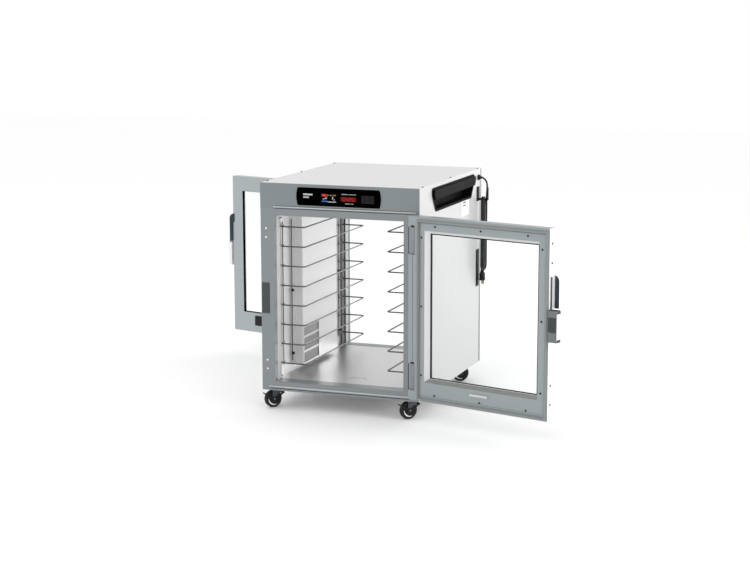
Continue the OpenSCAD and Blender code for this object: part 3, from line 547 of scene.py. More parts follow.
def frames_along(points):
    """The path's direction at each point, and two normals carried along it without twisting."""
    last = len(points) - 1
    tangents = [(points[min(i + 1, last)] - points[max(i - 1, 0)]).normalized() for i in range(last + 1)]
    side = tangents[0].orthogonal().normalized()
    out = []
    for t in tangents:
        side = (side - t * side.dot(t)).normalized()
        out.append((t, side, t.cross(side)))
    return out


def tube_part(points, radius, sides=12):
    """A closed round tube along points, with domed ends."""
    points = [Vector(p) for p in points]
    frames = frames_along(points)
    t, a, b = frames[0]
    domes = [math.radians(turn) for turn in (15, 45, 75)]
    rings = [(points[0] - t * radius * math.sin(d), radius * math.cos(d), a, b) for d in reversed(domes)]
    rings += [(p, radius, a, b) for p, (t, a, b) in zip(points, frames)]
    t, a, b = frames[-1]
    rings += [(points[-1] + t * radius * math.sin(d), radius * math.cos(d), a, b) for d in domes]
    verts = [centre + a * r * c + b * r * s for centre, r, a, b in rings for c, s in around(sides)]
    return verts, band_faces(len(rings), sides) + cap_faces(len(rings), sides)


def rounded(points, bend):
    """A polyline with its corners turned into arcs of the bend radius."""
    steps = 6
    points = [Vector(p) for p in points]
    out = [points[0]]
    for a, b, c in zip(points, points[1:], points[2:]):
        u, v = (a - b).normalized(), (c - b).normalized()
        half = u.angle(v) / 2
        cut = min(bend / math.tan(half), (a - b).length * 0.49, (c - b).length * 0.49)
        radius = cut * math.tan(half)
        centre = b + (u + v).normalized() * (radius / math.sin(half))
        start, end = b + u * cut - centre, b + v * cut - centre
        sweep = start.angle(end)
        for i in range(steps + 1):
            f = i / steps
            mixed = start * math.sin((1 - f) * sweep) + end * math.sin(f * sweep)
            out.append(centre + mixed / math.sin(sweep))
    out.append(points[-1])
    return out


def lathe_part(profile, sides=48, axis="Z"):
    """A closed solid turned about an axis from (radius, height) pairs, its ends capped or joined."""
    closed = profile[0] == profile[-1]
    rings = profile[:-1] if closed else profile
    verts = []
    for r, h in rings:
        for c, s in around(sides):
            x, y, z = r * c * MM, r * s * MM, h * MM
            verts.append({"Z": (x, y, z), "Y": (x, z, y), "X": (z, x, y)}[axis])
    faces = band_faces(len(rings), sides, closed)
    return verts, faces if closed else faces + cap_faces(len(rings), sides)


BOX_FACES = [(0, 1, 3, 2), (4, 6, 7, 5), (0, 4, 5, 1), (2, 3, 7, 6), (0, 2, 6, 4), (1, 5, 7, 3)]


def box_part(x, y, z):
    """A box in millimetres."""
    return [(a * MM, b * MM, c * MM) for a in x for b in y for c in z], BOX_FACES


def leaf_box(s, t, z):
    """A box on a leaf, from its s, t and z ranges."""
    return [leaf(a, b, c) for a in s for b in t for c in z], BOX_FACES


def prism_between(low, high):
    """A solid between two outlines of as many points each."""
    count = len(low)
    faces = [tuple(range(count)), tuple(range(count, 2 * count))]
    faces += [(i, (i + 1) % count, count + (i + 1) % count, count + i) for i in range(count)]
    return low + high, faces


def prism_part(outline, low, high, place):
    """An outline of 2D points, extruded. place(u, v, w) puts outline point u, v at depth w."""
    return prism_between(*([Vector(place(u, v, w)) * MM for u, v in outline] for w in (low, high)))


def ring_part(outer, inner, low, high, place):
    """A flat ring between two outlines of as many points each."""
    count = len(outer)
    verts = [Vector(place(u, v, w)) * MM for w in (low, high) for u, v in outer + inner]
    faces = []
    for a in range(count):
        b = (a + 1) % count
        faces += [(a, b, count + b, count + a), (2 * count + a, 3 * count + a, 3 * count + b, 2 * count + b),
                  (a, 2 * count + a, 2 * count + b, b), (count + a, count + b, 3 * count + b, 3 * count + a)]
    return verts, faces


def rounded_rect(x0, x1, z0, z1, r, steps=5):
    out = []
    for cx, cz, start in ((x1 - r, z1 - r, 0), (x0 + r, z1 - r, 90), (x0 + r, z0 + r, 180),
                          (x1 - r, z0 + r, 270)):
        for i in range(steps + 1):
            turn = math.radians(start + 90 * i / steps)
            out.append((cx + r * math.cos(turn), cz + r * math.sin(turn)))
    return out


def facing_front(u, v, w):
    return (u, w, v)


def facing_right(u, v, w):
    return (w, u, v)


# ------------------------------------------------------------------ repeated pieces, by Geometry Nodes

def make_by_nodes(name, tree, source, values):
    """Runs a geometry tree on a source mesh with values for its named inputs. Returns the plain mesh."""
    work = bpy.data.objects.new(name, source)
    bpy.context.scene.collection.objects.link(work)
    modifier = work.modifiers.new("build", "NODES")
    modifier.node_group = tree
    for item in tree.interface.items_tree:
        if item.item_type == "SOCKET" and item.in_out == "INPUT" and item.name in values:
            modifier[item.identifier] = values[item.name]
    bpy.context.view_layer.update()
    result = evaluated(work)
    work.modifiers.clear()
    bpy.data.objects.remove(work)
    return result


def geometry_tree(name, inputs):
    return new_tree(name, "GeometryNodeTree", [("Geometry", "geometry", None)] + inputs,
                    [("Geometry", "geometry")])


def close_tree(n, instances, given, out):
    """Realize Instances, then Set Material, then out."""
    real = n.add("GeometryNodeRealizeInstances", {"Geometry": instances})
    coated = n.add("GeometryNodeSetMaterial", {"Geometry": real.outputs["Geometry"],
                                               "Material": given["Material"]})
    n.fill(out, {"Geometry": coated.outputs["Geometry"]})
    return n.tree


def wire_slide_tree():
    """Wires swept along the source's bent path, with round corners, stacked up at an even pitch."""
    n, given, out = geometry_tree("wire_slides", [
        ("Bend", "value", 0.014), ("Wire radius", "value", 0.003), ("Count", "count", 8),
        ("Pitch", "vector", (0, 0, 0.084)), ("Material", "material", None)])
    path = n.add("GeometryNodeMeshToCurve", {"Mesh": given["Geometry"]})
    fillet = n.add("GeometryNodeFilletCurve", mode="POLY")
    n.fill(fillet, {"Count": 8, "Curve": path.outputs["Curve"], "Radius": given["Bend"]})
    ring = n.add("GeometryNodeCurvePrimitiveCircle", {"Resolution": 14, "Radius": given["Wire radius"]})
    sweep = n.add("GeometryNodeCurveToMesh", {"Curve": fillet.outputs["Curve"], "Fill Caps": True,
                                              "Profile Curve": ring.outputs["Curve"]})
    smooth = n.add("GeometryNodeSetShadeSmooth", {"Geometry": sweep.outputs["Mesh"]})
    line = n.add("GeometryNodeMeshLine", mode="OFFSET")
    n.fill(line, {"Count": given["Count"], "Offset": given["Pitch"]})
    copies = n.add("GeometryNodeInstanceOnPoints", {"Points": line.outputs["Mesh"],
                                                    "Instance": smooth.outputs["Geometry"]})
    return close_tree(n, copies.outputs["Instances"], given, out)


def scatter_tree():
    """One shape at each point of the source, its +Z along the point's facing."""
    n, given, out = geometry_tree("placed_copies", [
        ("Shape", "object", None), ("Size", "value", 1.0), ("Material", "material", None)])
    info = n.add("GeometryNodeObjectInfo", {"Object": given["Shape"]}, transform_space="ORIGINAL")
    facing = n.add("GeometryNodeInputNamedAttribute", {"Name": "facing"}, data_type="FLOAT_VECTOR")
    turn = n.add("FunctionNodeAlignRotationToVector", {"Vector": facing.outputs["Attribute"]}, axis="Z")
    copies = n.add("GeometryNodeInstanceOnPoints", {
        "Points": given["Geometry"], "Instance": info.outputs["Geometry"],
        "Rotation": turn.outputs["Rotation"], "Scale": given["Size"]})
    return close_tree(n, copies.outputs["Instances"], given, out)


SLIDES, COPIES = wire_slide_tree(), scatter_tree()


def placed(name, parts, spots, material, replaces=()):
    """Copies of one small shape at (point, facing) spots on the cabinet, as one piece."""
    shape = bpy.data.objects.new(name + "_shape", shaded(mesh_from(name + "_shape", parts)))
    points = bpy.data.meshes.new(name + "_points")
    points.from_pydata([p for p, way in spots], [], [])
    facing = points.attributes.new("facing", "FLOAT_VECTOR", "POINT")
    for i, (p, way) in enumerate(spots):
        facing.data[i].vector = way
    mesh = make_by_nodes(name + "_work", COPIES, points, {"Shape": shape, "Size": 1.0, "Material": material})
    mesh.name = name
    add_piece(name, mesh, "cabinet", material, replaces)


def cross_head_part(r, high):
    """A pan-head screw with a cross recess, standing on +Z."""
    dome = [(1, 0), (1, 0.35), (0.93, 0.7), (0.78, 0.93), (0.55, 1)]
    sides, arms = 24, 12
    verts = [(r * f * c * MM, r * f * s * MM, high * h * MM) for f, h in dome for c, s in around(sides)]
    faces = band_faces(len(dome), sides) + [tuple(range(sides))[::-1]]
    base, top = len(verts), (len(dome) - 1) * sides
    arm, slim = r * 0.42, r * 0.1
    quarter = [(arm, -slim), (arm, slim), (slim, slim)]
    cross = []
    for turn in range(4):
        cross += quarter
        quarter = [(-y, x) for x, y in quarter]
    verts += [(x * MM, y * MM, high * MM) for x, y in cross]
    verts += [(x * 0.7 * MM, y * 0.7 * MM, high * 0.35 * MM) for x, y in cross]
    links = [0, 0, 3, 6, 6, 9, 12, 12, 15, 18, 18, 21]      # rim point that faces each point of the cross
    for i in range(arms):
        j = (i + 1) % arms
        a, b = links[i], links[j] if links[j] >= links[i] else links[j] + sides
        faces.append((base + j, base + i, *(top + k % sides for k in range(a, b + 1))))
        faces.append((base + i, base + j, base + arms + j, base + arms + i))
    faces.append(tuple(base + arms + i for i in range(arms)))
    return verts, faces


# ------------------------------------------------------------------ the power cord

CORD_D = 8.0
HANK_X, HANK_Y, FOLD = 730.0, 806.0, 24.0
HANK_Z = (430.0, 764.0)
CORD_GAP = CORD_D + 0.5                          # between neighbouring turns of the hank
GLAND = (702, 815, 847)
CORD_ROUTE = [(717, 815, 847.6), (722.5, 815, 846.2), (728, 815, 843.6), (734, 815.2, 839),
              (739, 815.6, 832.6), (742.3, 816.4, 825), (743.7, 817.5, 816), (743.6, 819.2, 806),
              (742.9, 821.2, 796), (741.8, 823.2, 786), (740.6, 825, 776), (739.5, 826.4, 766),
              (738.8, 827.2, 757), (738.5, 827.9, 748)]


def hank_route():
    """Down behind, round the lower fold, up in front and over the hook's arm; twice, then to the plug."""
    low, high = HANK_Z[0] + FOLD + CORD_D / 2, HANK_Z[1] - FOLD - CORD_D / 2
    middle = (high + low) / 2
    down = [high - 14, high - 40, middle + 60, middle, middle - 60, low + 20]
    up = [low + 20, middle - 60, middle, middle + 60, high - 40]
    half_turn = [math.pi * i / 10 for i in range(11)]
    out = []
    x = HANK_X + CORD_GAP
    for loop in range(2):
        out += [(x, HANK_Y + FOLD - 1.2 * math.sin(math.pi * (z - low) / (high - low)), z) for z in down]
        out += [(x, HANK_Y + FOLD * math.cos(turn), low - FOLD * math.sin(turn)) for turn in half_turn]
        out += [(x, HANK_Y - FOLD + 1.2 * math.sin(math.pi * (z - low) / (high - low)), z) for z in up]
        out += [(x - CORD_GAP * (1 - math.cos(turn)) / 2, HANK_Y - FOLD * math.cos(turn),
                 high + FOLD * math.sin(turn)) for turn in half_turn]
        x -= CORD_GAP
    return out + [(x, HANK_Y + FOLD, z) for z in down + [low, low - 10]]


def curve_through(points, step):
    """Points every step millimetres along a smooth curve through the given points, and its length."""
    points = [Vector(p) for p in points]
    last = len(points) - 1
    dense = []
    for i in range(last):
        p0, p1, p2, p3 = points[max(i - 1, 0)], points[i], points[i + 1], points[min(i + 2, last)]
        d1, d2, d3 = (max((b - a).length, 1e-6) ** 0.5 for a, b in ((p0, p1), (p1, p2), (p2, p3)))
        m1 = m2 = p2 - p1
        if i > 0:
            m1 = ((p1 - p0) / d1 - (p2 - p0) / (d1 + d2) + (p2 - p1) / d2) * d2
        if i < last - 1:
            m2 = ((p2 - p1) / d2 - (p3 - p1) / (d2 + d3) + (p3 - p2) / d3) * d2
        for k in range(24):
            f = k / 24
            dense.append(p1 * (2 * f ** 3 - 3 * f ** 2 + 1) + m1 * (f ** 3 - 2 * f ** 2 + f)
                         + p2 * (3 * f ** 2 - 2 * f ** 3) + m2 * (f ** 3 - f ** 2))
    dense.append(points[-1])
    total = sum((b - a).length for a, b in zip(dense, dense[1:]))
    count = max(2, round(total / step))
    out, walked, target = [dense[0]], 0.0, total / count
    for a, b in zip(dense, dense[1:]):
        length = (b - a).length
        while walked + length >= target - 1e-9 and len(out) < count:
            out.append(a.lerp(b, (target - walked) / length))
            target += total / count
        walked += length
    out.append(dense[-1])
    return out, total


def make_cord():
    route, total = curve_through(CORD_ROUTE + hank_route(), 6.0)
    points = [at(*p) for p in route]
    mesh = shaded(mesh_from("power_cord", [tube_part(points, CORD_D / 2 * MM, 14)]), 60)
    piece = add_piece("power_cord", mesh, "cabinet", CORD, ["cord_tube", "cord_hank"])
    return piece, points, total * MM


def make_gland():
    """Hexagon body, dome nut and a ribbed strain relief that tapers onto the cord."""
    hexagon = [(13.4 * c, 13.4 * s) for c, s in around(6)]
    profile = [(11.2, 4.5), (11.2, 8), (10.6, 9.6), (9.2, 10.6), (7.2, 11)]
    for i in range(3):
        r, h = 7.2 - i * 0.45, 11 + i * 2.3
        profile += [(r, h), (r, h + 1.2), (r - 1, h + 1.3), (r - 1, h + 2.3)]
    profile += [(5.2, 17.9), (4.1, 18)]
    parts = [prism_part(hexagon, 0, 4.5, facing_right), lathe_part(profile, 36, "X")]
    mesh = bevelled(mesh_from("gland", parts, Matrix.Translation(at(*GLAND))), 0.35, 2, 40)
    return add_piece("cord_gland_finish", mesh, "cabinet", BLACK, ["cord_gland"])


def plug_body_part():
    """Waisted body of the plug, from rounded oblongs of (height, half width, half depth)."""
    shapes = ((-33, 7.5, 8.5), (-36, 9.8, 11.5), (-41, 11.8, 14.2), (-50, 11.0, 13.4), (-58, 11.4, 13.8),
              (-64, 12.2, 14.7), (-69, 12.2, 14.7), (-70, 11.4, 13.9))
    sides = 28
    verts = []
    for z, half_x, half_y in shapes:
        for c, s in around(sides):
            verts.append((half_x * math.copysign(abs(c) ** 0.45, c) * MM,
                          half_y * math.copysign(abs(s) ** 0.45, s) * MM, z * MM))
    return verts, cap_faces(len(shapes), sides) + band_faces(len(shapes), sides)


def make_plug():
    """Moulded three-pin plug: ribbed relief, waisted body and bright blades."""
    place = Matrix.Translation(at(HANK_X - CORD_GAP, HANK_Y + FOLD, HANK_Z[0] + 20))
    relief = [(4.2, 0), (5.0, 0)]
    for i in range(7):
        r, h = 5.0 + 0.45 * i, 4.7 * i
        relief += [(r + 0.5, -h - 0.4), (r + 0.6, -h - 2.6), (r - 0.3, -h - 3.0), (r - 0.3, -h - 4.4)]
    relief += [(8.6, -4.7 * 7), (8.8, -36)]
    mesh = shaded(mesh_from("plug", [lathe_part(relief, 30), plug_body_part()], place), 38)
    body = add_piece("power_plug_body", mesh, "cabinet", BLACK, ["power_plug"])
    blade = [(-3.1, -70), (3.1, -70), (3.1, -86.2), (2.2, -87.8), (-2.2, -87.8), (-3.1, -86.2)]
    pins = [prism_part(blade, y - 0.7, y + 0.7, facing_front) for y in (-6.4, 6.4)]
    verts, faces = lathe_part([(2.3, -70), (2.3, -87), (1.9, -88.6), (1.0, -89.6)], 20)
    pins.append(([(x + 8 * MM, y, z) for x, y, z in verts], faces))
    mesh = shaded(mesh_from("plug_pins", pins, place), 40)
    return body, add_piece("power_plug_pins", mesh, "cabinet", BRASS)


def make_strap():
    """Hook-and-loop strap cinched round the hank."""
    z = (HANK_Z[0] + HANK_Z[1]) / 2 - 10
    x0, x1, y0, y1 = HANK_X - 13.2, HANK_X + 13.2, HANK_Y - 29.2, HANK_Y + 29.2
    corners = [(HANK_X, y0, 0), (x1, y0, 0), (x1, y1, 0), (x0, y1, 0), (x0, y0, 0), (HANK_X, y0, 0)]
    loop = rounded(corners, 7)[:-1]
    count = len(loop)
    verts = []
    for i, p in enumerate(loop):
        tangent = (loop[(i + 1) % count] - loop[i - 1]).normalized()
        out = Vector((tangent.y, -tangent.x, 0))
        for offset, dz in ((-0.5, 0), (0.6, 0), (0.6, 18), (-0.5, 18)):
            q = p + out * offset
            verts.append(at(q.x, q.y, z + dz))
    mesh = bevelled(mesh_from("strap", [(verts, band_faces(count, 4, True))]), 0.25, 1, 50)
    return add_piece("cord_tie_finish", mesh, "cabinet", STRAP, ["cord_tie"])


# ------------------------------------------------------------------ wire racks

POST_YS = (110, 206, 756)
RACK_FRONT, RACK_BACK = 76, 790
FIRST_SLIDE, SLIDE_COUNT, SLIDE_PITCH = 104, 8, 0.084


def make_racks():
    for side, wall, inner, post_x in (("left", 57.0, 166.0, 52.2), ("right", 645.0, 536.0, 649.8)):
        corners = [(wall, 110), (wall, RACK_FRONT), (inner, RACK_FRONT), (inner, RACK_BACK),
                   (wall, RACK_BACK), (wall, 756)]
        path = bpy.data.meshes.new("slide_path")
        path.from_pydata([at(x, y, FIRST_SLIDE) for x, y in corners], [(i, i + 1) for i in range(5)], [])
        mesh = make_by_nodes(side + "_slides", SLIDES, path, {
            "Bend": 0.012, "Wire radius": 0.003, "Count": SLIDE_COUNT, "Pitch": (0, 0, SLIDE_PITCH),
            "Material": WIRE})
        add_piece("rack_%s_slides_finish" % side, mesh, "cabinet", WIRE, ["rack_%s_slides" % side])
        parts = [tube_part([at(post_x, y, z) for z in (90, 400, 706)], 0.0021, 14) for y in POST_YS]
        for y, back in ((RACK_FRONT, 20), (RACK_BACK, -20)):
            for start, end in ((FIRST_SLIDE, 46), (692, 728)):
                hook = [at(post_x, y, start), at(post_x, y, end), at(post_x, y + back, end)]
                parts.append(tube_part(rounded(hook, 0.006), 0.0024, 14))
        mesh = shaded(mesh_from("posts", parts), 60)
        add_piece("rack_%s_posts_finish" % side, mesh, "cabinet", WIRE, ["rack_%s_posts" % side])


# ------------------------------------------------------------------ control band

PRINT = (-5.62, -5.4)                            # depths of the marks on the panel's face
KEY_MARK = (-6.38, -6.25)                        # and of those on the key pad
SEGMENTS = {"0": "abcdef", "1": "bc", "2": "abged", "3": "abgcd", "4": "fgbc", "5": "afgcd", "6": "afgedc",
            "7": "abc", "8": "abcdefg", "9": "abfgcd"}


def digit_parts(text, x, z, wide, high, depth):
    """Seven-segment digits as small bars with pointed ends."""
    parts = []
    bar, mid = wide * 0.16, high / 2
    spots = {"a": (0, high, True), "g": (0, mid, True), "d": (0, 0, True), "f": (0, mid, False),
             "b": (wide, mid, False), "e": (0, 0, False), "c": (wide, 0, False)}
    for ch in text:
        for key in SEGMENTS[ch]:
            ox, oz, lying = spots[key]
            length = wide if lying else mid
            shape = [(bar * 0.7, 0), (bar * 1.2, bar / 2), (length - bar * 1.2, bar / 2),
                     (length - bar * 0.7, 0), (length - bar * 1.2, -bar / 2), (bar * 1.2, -bar / 2)]
            outline = [(x + ox + (u if lying else v), z + oz + (v if lying else u)) for u, v in shape]
            parts.append(prism_part(outline, depth, depth + 0.25, facing_front))
        x += wide * 1.55
    return parts


def printed(bars, radius, steps=5):
    """Flat marks with round corners on the panel's face."""
    return [prism_part(rounded_rect(*bar, radius, steps), *PRINT, facing_front) for bar in bars]


def make_panel_rim(place):
    """Thin bright ring round the panel, with bowed ends."""
    x0, z0 = BODY_W / 2, 834.5                   # middle of the panel
    half, rise, bow, drawn_in = 186.6, 39, 6, 5.4
    end = []
    for h in range(-rise, rise + 1, 6):
        x = half + bow * (1 - (h / rise) ** 2)
        end.append((x if abs(h) == rise else x - drawn_in, h))
    rim = end + [(-x, h) for x, h in reversed(end)]
    outer = [(x0 + x, z0 + h) for x, h in rim]
    inner = [(x0 + x * 0.977, z0 + h * 0.93) for x, h in rim]
    mesh = mesh_from("rim", [ring_part(outer, inner, -2.6, -1.4, facing_front)], place)
    add_piece("panel_rim", bevelled(mesh, 0.25), "cabinet", HINGE)


def make_key_pad(place):
    pad = prism_part(rounded_rect(452, 509, 815, 848, 2.5), -6.3, -2.9, facing_front)
    add_piece("key_pad_finish", bevelled(mesh_from("pad", [pad], place), 0.35), "key_pad", KEYS,
              ["key_pad"])
    marks = []
    for cz, up in ((840, 1), (823, -1)):
        for cx in (464, 480.5, 497):
            outer = rounded_rect(cx - 6.4, cx + 6.4, cz - 6, cz + 6, 1.6)
            inner = rounded_rect(cx - 6.0, cx + 6.0, cz - 5.6, cz + 5.6, 1.3)
            marks.append(ring_part(outer, inner, *KEY_MARK, facing_front))
            mark = rounded_rect(cx - 2, cx + 2, cz - 0.5, cz + 0.5, 0.3)
            if cx == 480.5:
                mark = [(cx - 2.6, cz - 1.8 * up), (cx + 2.6, cz - 1.8 * up), (cx, cz + 2.2 * up)]
            marks.append(prism_part(mark, *KEY_MARK, facing_front))
    add_piece("key_marks", mesh_from("key_marks", marks, place), "key_pad", KEY_PRINT)


def make_controls():
    place = body_place()
    softened("control_panel", "cabinet", CONTROL, 1.2, 3)
    make_panel_rim(place)
    # Pale print at the panel's left end, with the painted glow of the pale marks.
    flash = printed([(196, 238, 840, 847), (196, 222, 829, 835)], 1.5)
    add_piece("panel_flash", mesh_from("flash", flash, place), "cabinet", PALE_PRINT_GLOW)
    softened("display_window", "cabinet", FILTER, 0.3)
    mesh = mesh_from("digits", digit_parts("0425", 372, 822.2, 8.2, 13.5, -5.45), place)
    add_piece("display_digits", mesh, "cabinet", RED)
    make_key_pad(place)
    shown = {
        RED: [(279, 298, 838, 848), (300, 301.5, 838, 847)],
        GREEN: [(303, 309, 842, 846), (303, 305, 836, 839)],
        AMBER: [(313, 325, 841.5, 845.5), (329, 341, 841.5, 846)],
        BLUE: [(279, 306, 815.5, 820.5)],
        PALE_PRINT_GLOW: [(283, 291, 826, 829), (293, 301, 828, 834), (325, 329, 826, 838), (331, 337, 824, 827),
               (306, 342, 814.5, 818), (366, 392, 848.5, 851), (395, 430, 848.5, 850.5),
               (382, 402, 810, 812.5), (405, 419, 810, 812)]}
    for material, bars in shown.items():
        mesh = mesh_from("marks", printed(bars, 0.7, 3), place)
        add_piece("panel_marks_" + material.name, mesh, "cabinet", material)


# ------------------------------------------------------------------ body

def make_body():
    softened("side_panel_left", "cabinet", PANEL, 0.35)
    softened("side_panel_right", "cabinet", PANEL, 0.35)
    softened("top_panel", "cabinet", TOP, 0.6)
    softened("front_frame", "cabinet", FRAME, 0.8)
    softened("rear_frame", "cabinet", FRAME, 0.8)
    softened("front_header", "cabinet", HEADER, 0.7)
    softened("base_panel", "cabinet", PANEL, 0.5)
    softened("breaker_strips", "cabinet", BREAKER, 1.0)
    softened("liner", "cabinet", LINER, 0.3)
    paint("floor_tray", TRAY)
    softened("air_duct", "cabinet", DUCT, 0.8)
    make_grille()
    softened("strike_plates", "cabinet", SLATE, 0.6)
    softened("cord_hook", "cabinet", KEYS, 0.9)
    softened("rack_clips", "cabinet", BLACK, 0.5)
    paint("blower_motor", MOTOR)
    paint("blower_wheel", STEEL)
    place = body_place()
    # Dark strips down both liner walls and on the rear jamb, near the back: painted shade.
    joints = [box_part(x, (794, 806), (41, 756)) for x in ((48.0, 48.5), (653.5, 654.0))]
    joints += [box_part(x, (807.5, 808.0), (41, 748)) for x in ((60.5, 67.5), (642.5, 649.5))]
    joints = bevelled(mesh_from("joints", joints, place), 0.2, 1)
    add_piece("wall_joint_strips", joints, "cabinet", SLATE)
    outline = rounded_rect(571, 676, 699, 769, 3)
    label = mesh_from("label", [prism_part(outline, BODY_W, BODY_W + 0.3, facing_right)], place)
    add_piece("blank_label", label, "cabinet", LABEL)
    marks = [box_part((BODY_W + 0.3, BODY_W + 0.45), (592, 628), (z, z + 6)) for z in (742, 755)]
    add_piece("label_marks", mesh_from("marks", marks, place), "cabinet", SLATE)
    for end in ("front", "rear"):
        make_opening_trim(end, body_place(end))


def make_opening_trim(end, place):
    """Rolled beads over and under an opening, painted lighter than the frame as a painted highlight, the
    plate on its sill, and painted shade lines beside the beads.
    """
    rolls = []
    for xs, y, z, r in (((34, 350, 661), 1, 16, 5.12), ((62, 350, 684), -0.5, 785, 4.12)):
        rolls.append(tube_part([Vector((x, y, z)) * MM for x in xs], r * MM, 20))
    mesh = shaded(mesh_from("rolls", rolls, place), 60)
    add_piece(end + "_rolled_beads", mesh, "cabinet", BEAD_HIGHLIGHT)
    sill = mesh_from("sill", [box_part((60.3, 633.7), (0.4, 61.5), (40.0, 40.4))], place)
    add_piece(end + "_sill_plate", bevelled(sill, 0.15, 1), "cabinet", FRAME)
    # Dark strips along the beads: painted shade where the beads meet the frame.
    lines = [box_part((36, 660), (-0.35, 0.3), (7.4, 10.8)), box_part((64, 682), (-0.5, 0.3), (777.6, 780.8)),
             box_part((64, 682), (-1.9, -1.2), (788.9, 790.9))]
    mesh = bevelled(mesh_from("lines", lines, place), 0.12, 1)
    add_piece(end + "_seam_lines", mesh, "cabinet", SLATE)


def make_grille():
    """Return-air grille: a thin rim with three bright bars, and slanted louvres in the gaps between them,
    painted dark as painted shade.
    """
    y0, y1, z0, z1 = 256.1, 433.9, 64.1, 227.9
    edge, deep = 4, (83.2, 85.5)
    levels = [z0, z0 + edge, z0 + 48, z0 + 57, z0 + 76, z0 + 85, z0 + 114, z0 + 123, z1 - edge, z1]
    gaps = list(zip(levels[1::2], levels[2::2]))
    parts = [box_part(deep, (y0, y1), (a, b)) for a, b in zip(levels[0::2], levels[1::2])]
    for gap in gaps:
        parts += [box_part(deep, (y0, y0 + edge), gap), box_part(deep, (y1 - edge, y1), gap)]
    bars = bevelled(mesh_from("bars", parts, body_place()), 0.3)
    add_piece("return_grille_finish", bars, "cabinet", BAR, ["return_grille"])
    blades = []
    for a, b in gaps:
        count = max(2, round((b - a) / 9))
        step = (b - a) / count
        for i in range(count):
            z = a + i * step
            outline = [(79.4, z + step), (80.2, z + step + 0.6), (84.6, z + 0.9), (84.0, z + 0.1)]
            blades.append(prism_part(outline, y0 + edge, y1 - edge, facing_front))
    add_piece("return_louvres", mesh_from("louvres", blades, body_place()), "cabinet", LOUVRE_SHADE)


def make_screws():
    """Cross-head screws on the top, and the white plugs in the stiles of both ends."""
    spots = [(at(x, y, BODY_H), (0, 0, 1)) for x in (7, BODY_W - 7) for y in (60, BODY_D / 2, BODY_D - 40)]
    placed("top_screws", [cross_head_part(5, 2.2)], spots, STEEL, ["body_fasteners"])
    dome = [(4, 0), (4, 0.5), (3.7, 1.0), (3.0, 1.4), (1.8, 1.6), (0.4, 1.6)]
    spots = []
    for z in (93, 130, 656, 693):
        spots.append((at(24.5, 0, z), (0, -1, 0)))
        spots.append((at(BODY_W - 24.5, BODY_D, z), (0, 1, 0)))
    placed("stile_plugs", [lathe_part(dome, 28)], spots, WHITE)


def turned_on_axis(end, name, profile, body):
    """The same small turned piece on both hinges of a door. Its heights are from a hinge's lower end."""
    parts = [lathe_part([(r, z0 + h) for r, h in profile], 32) for z0 in HINGES]
    mesh = shaded(mesh_from(name, parts, hinge_place(end)), 40)
    add_piece("%s_hinge_%s" % (end, name), mesh, body, BLACK)


def make_hinges():
    softened("hinge_brackets", "cabinet", HINGE, 0.6)
    cap = [(9.2, 108.3), (9.2, 111), (8.6, 112), (6.5, 112.6), (0.5, 112.8)]
    foot = [(8.8, -0.1), (8.8, -2), (7.5, -3), (0.5, -3)]
    for end in ("front", "rear"):
        turned_on_axis(end, "caps", cap, end + "_door")
        turned_on_axis(end, "feet", foot, "cabinet")
        # Dark strips on each leaf: painted shade in the gap at the leaf's hinge end, a thin dark line between
        # the hinges, and a black block over each hinge.
        seals = [leaf_box((6.8, 8.4), (-0.3, 0.3), (180, 621))]
        for z0 in HINGES:
            seals += [leaf_box((-12.8, -9.6), (-0.3, 0.3), (z0 + 1, z0 + 111)),
                      leaf_box((0.5, 14.5), (-3.5, 0.2), (z0 + 111, z0 + 117.5))]
        mesh = bevelled(mesh_from("seals", seals, door_place(end)), 0.25)
        add_piece(end + "_hinge_trim", mesh, end + "_door", BLACK)


def make_carry_handles():
    for side in ("left", "right"):
        softened("carry_handle_" + side, "cabinet", HANDLE, 1.6, 3)


# ------------------------------------------------------------------ doors

def make_doors():
    for end in ("front", "rear"):
        body = end + "_door"
        place = door_place(end)
        softened(body + "_shell", body, DOORS[end], 0.8)
        softened(body + "_trim", body, DOORS[end], 0.7)
        softened(body + "_reveal", body, REVEAL, 0.4)
        softened(body + "_gasket", body, RUBBER, 1.0)
        softened(body + "_latch", body, LATCHES[end], 1.2)
        make_grip(body, place)
        make_door_dressing(end, body, place)
        paint(body + "_glass", GLASS)
        paint(body + "_fittings", BLACK)


def make_door_dressing(end, body, place):
    """Grey ledge under the window, and a blank plate on the foot rail."""
    slope = [(66.6, 0.4, 104.2), (596.4, 0.4, 104.2), (584.2, 24.4, 116.1), (78.8, 24.4, 116.1)]
    layers = [[leaf(s, t, z + lift) for s, t, z in slope] for lift in (0.25, 0.55)]
    ledge = mesh_from("ledge", [prism_between(*layers)], place)
    add_piece(end + "_window_ledge", bevelled(ledge, 0.12, 1), body, LEDGE)
    plate = mesh_from("plate", [leaf_box((286, 370), (-3.5, -2.9), (77, 87))], place)
    add_piece(end + "_foot_plate", bevelled(plate, 0.2), body, PLATE)


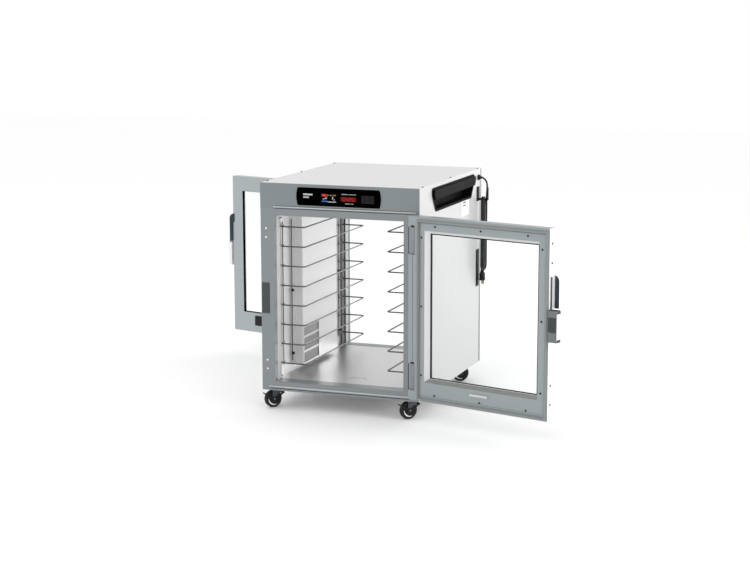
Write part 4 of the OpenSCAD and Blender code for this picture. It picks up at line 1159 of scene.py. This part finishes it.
def make_grip(body, place):
    """Pull grip above the latch: bright plate, dark rounded flange, bumper bar and dark strips."""
    plate = mesh_from("plate", [leaf_box((643.05, 646), (12.2, 40.2), (466, 596))], place)
    add_piece(body + "_grip_plate", bevelled(plate, 0.4), body, BRIGHT)
    outline = [(643.2, 466), (662.8, 466)]
    for i in range(9):
        turn = math.radians(90 * i / 8)
        outline.append((636.8 + 26 * math.cos(turn), 571 + 26 * math.sin(turn)))
    outline += [(636.2, 597), (636.2, 560), (643.2, 550)]
    flange = prism_between(*([leaf(s, t, z) for s, z in outline] for t in (40.1, 44.9)))
    flange = bevelled(mesh_from("flange", [flange], place), 1.2, 3)
    add_piece(body + "_grip_flange", flange, body, NAVY, [body + "_grip"])
    bar = mesh_from("bumper", [leaf_box((652.2, 671.8), (22.2, 43.8), (342.2, 454.8))], place)
    add_piece(body + "_bumper_bar", bevelled(bar, 2.0, 3), body, BRIGHT)
    dark = [leaf_box((643.02, 646.3), (11.9, 19), (466, 592)),
            leaf_box((643.4, 681), (-7, 21), (464.0, 465.7))]
    dark += [leaf_box((681.5, 684.04), (-7.4, 21.4), z) for z in ((452, 463.6), (340.4, 352))]
    dark += [leaf_box((645 + i * 4.6, 648.4 + i * 4.6), (-8.25, -7.9), (380, 438)) for i in range(8)]
    mesh = bevelled(mesh_from("seals", dark, place), 0.12, 1)
    add_piece(body + "_latch_trim", mesh, body, SLATE)


# ------------------------------------------------------------------ casters

AXLE_TRAIL, AXLE_DROP = 26, 47                   # a caster's axle from its swivel


def mirrored(profile):
    """A closed wheel profile from its (radius, width) points on one side, the hub's edge first."""
    return [(r, -w) for r, w in profile] + [(r, w) for r, w in reversed(profile)] + [
        (profile[0][0], -profile[0][1])]


def make_casters():
    tread = mirrored([(30, 10.4), (34, 11), (37, 9), (38, 6)])
    hub = mirrored([(4.05, 11), (9, 11), (11, 6.5), (22, 6.2), (24, 9.6), (29.9, 10.2)])
    # Crescent of a painted highlight on the wheel's face.
    arc = [(math.radians(246 + 12 * i), 1.2 + 4.0 * math.sin(math.pi * i / 10)) for i in range(11)]
    crescent = [(27 * math.cos(a), 27 * math.sin(a)) for a, w in arc]
    crescent += [((27 - w) * math.cos(a), (27 - w) * math.sin(a)) for a, w in reversed(arc)]
    heads = [lathe_part([(0.5, 21.2), (3.6, 21.0), (4.4, 20.2), (4.4, 15.2)], 20, "Y"),
             lathe_part([(4.4, -15.2), (4.4, -17.0), (3.6, -17.6), (0.5, -17.8)], 20, "Y")]
    for tag in ("fl", "fr", "rl", "rr"):
        body, wheel = "caster_" + tag, "wheel_" + tag
        axle = caster_place(tag) @ Matrix.Translation((AXLE_TRAIL * MM, 0, -AXLE_DROP * MM))
        softened("caster_fork_" + tag, body, ZINC)
        mesh = shaded(mesh_from("tread", [lathe_part(tread, 72, "Y")], axle), 40)
        add_piece("wheel_tread_" + tag, mesh, wheel, TREAD, ["caster_wheel_" + tag])
        mesh = shaded(mesh_from("hub", [lathe_part(hub, 48, "Y")], axle), 30)
        add_piece("wheel_hub_" + tag, mesh, wheel, HUB)
        # Bright crescents on both faces of each wheel: a painted highlight where light catches the rounded
        # wheel.
        guards = [prism_part(crescent, *depth, facing_front) for depth in ((-11.9, -11.15), (11.15, 11.9))]
        mesh = bevelled(mesh_from("guards", guards, axle), 0.15)
        add_piece("thread_guards_" + tag, mesh, body, BRIGHT)
        add_piece("axle_heads_" + tag, shaded(mesh_from("heads", heads, axle), 40), body, BRIGHT)
        if tag[0] == "f":
            softened("brake_pedal_" + tag, "brake_" + tag, BLACK, 0.6)
    softened("caster_plates", "cabinet", ZINC)


# ------------------------------------------------------------------ the order of work

make_camera()
cord, cord_points, cord_length = make_cord()
gland = make_gland()
plug_body, plug_pins = make_plug()
strap = make_strap()
make_studio()
make_body()
make_racks()
make_controls()
make_screws()
make_hinges()
make_carry_handles()
make_doors()
make_casters()
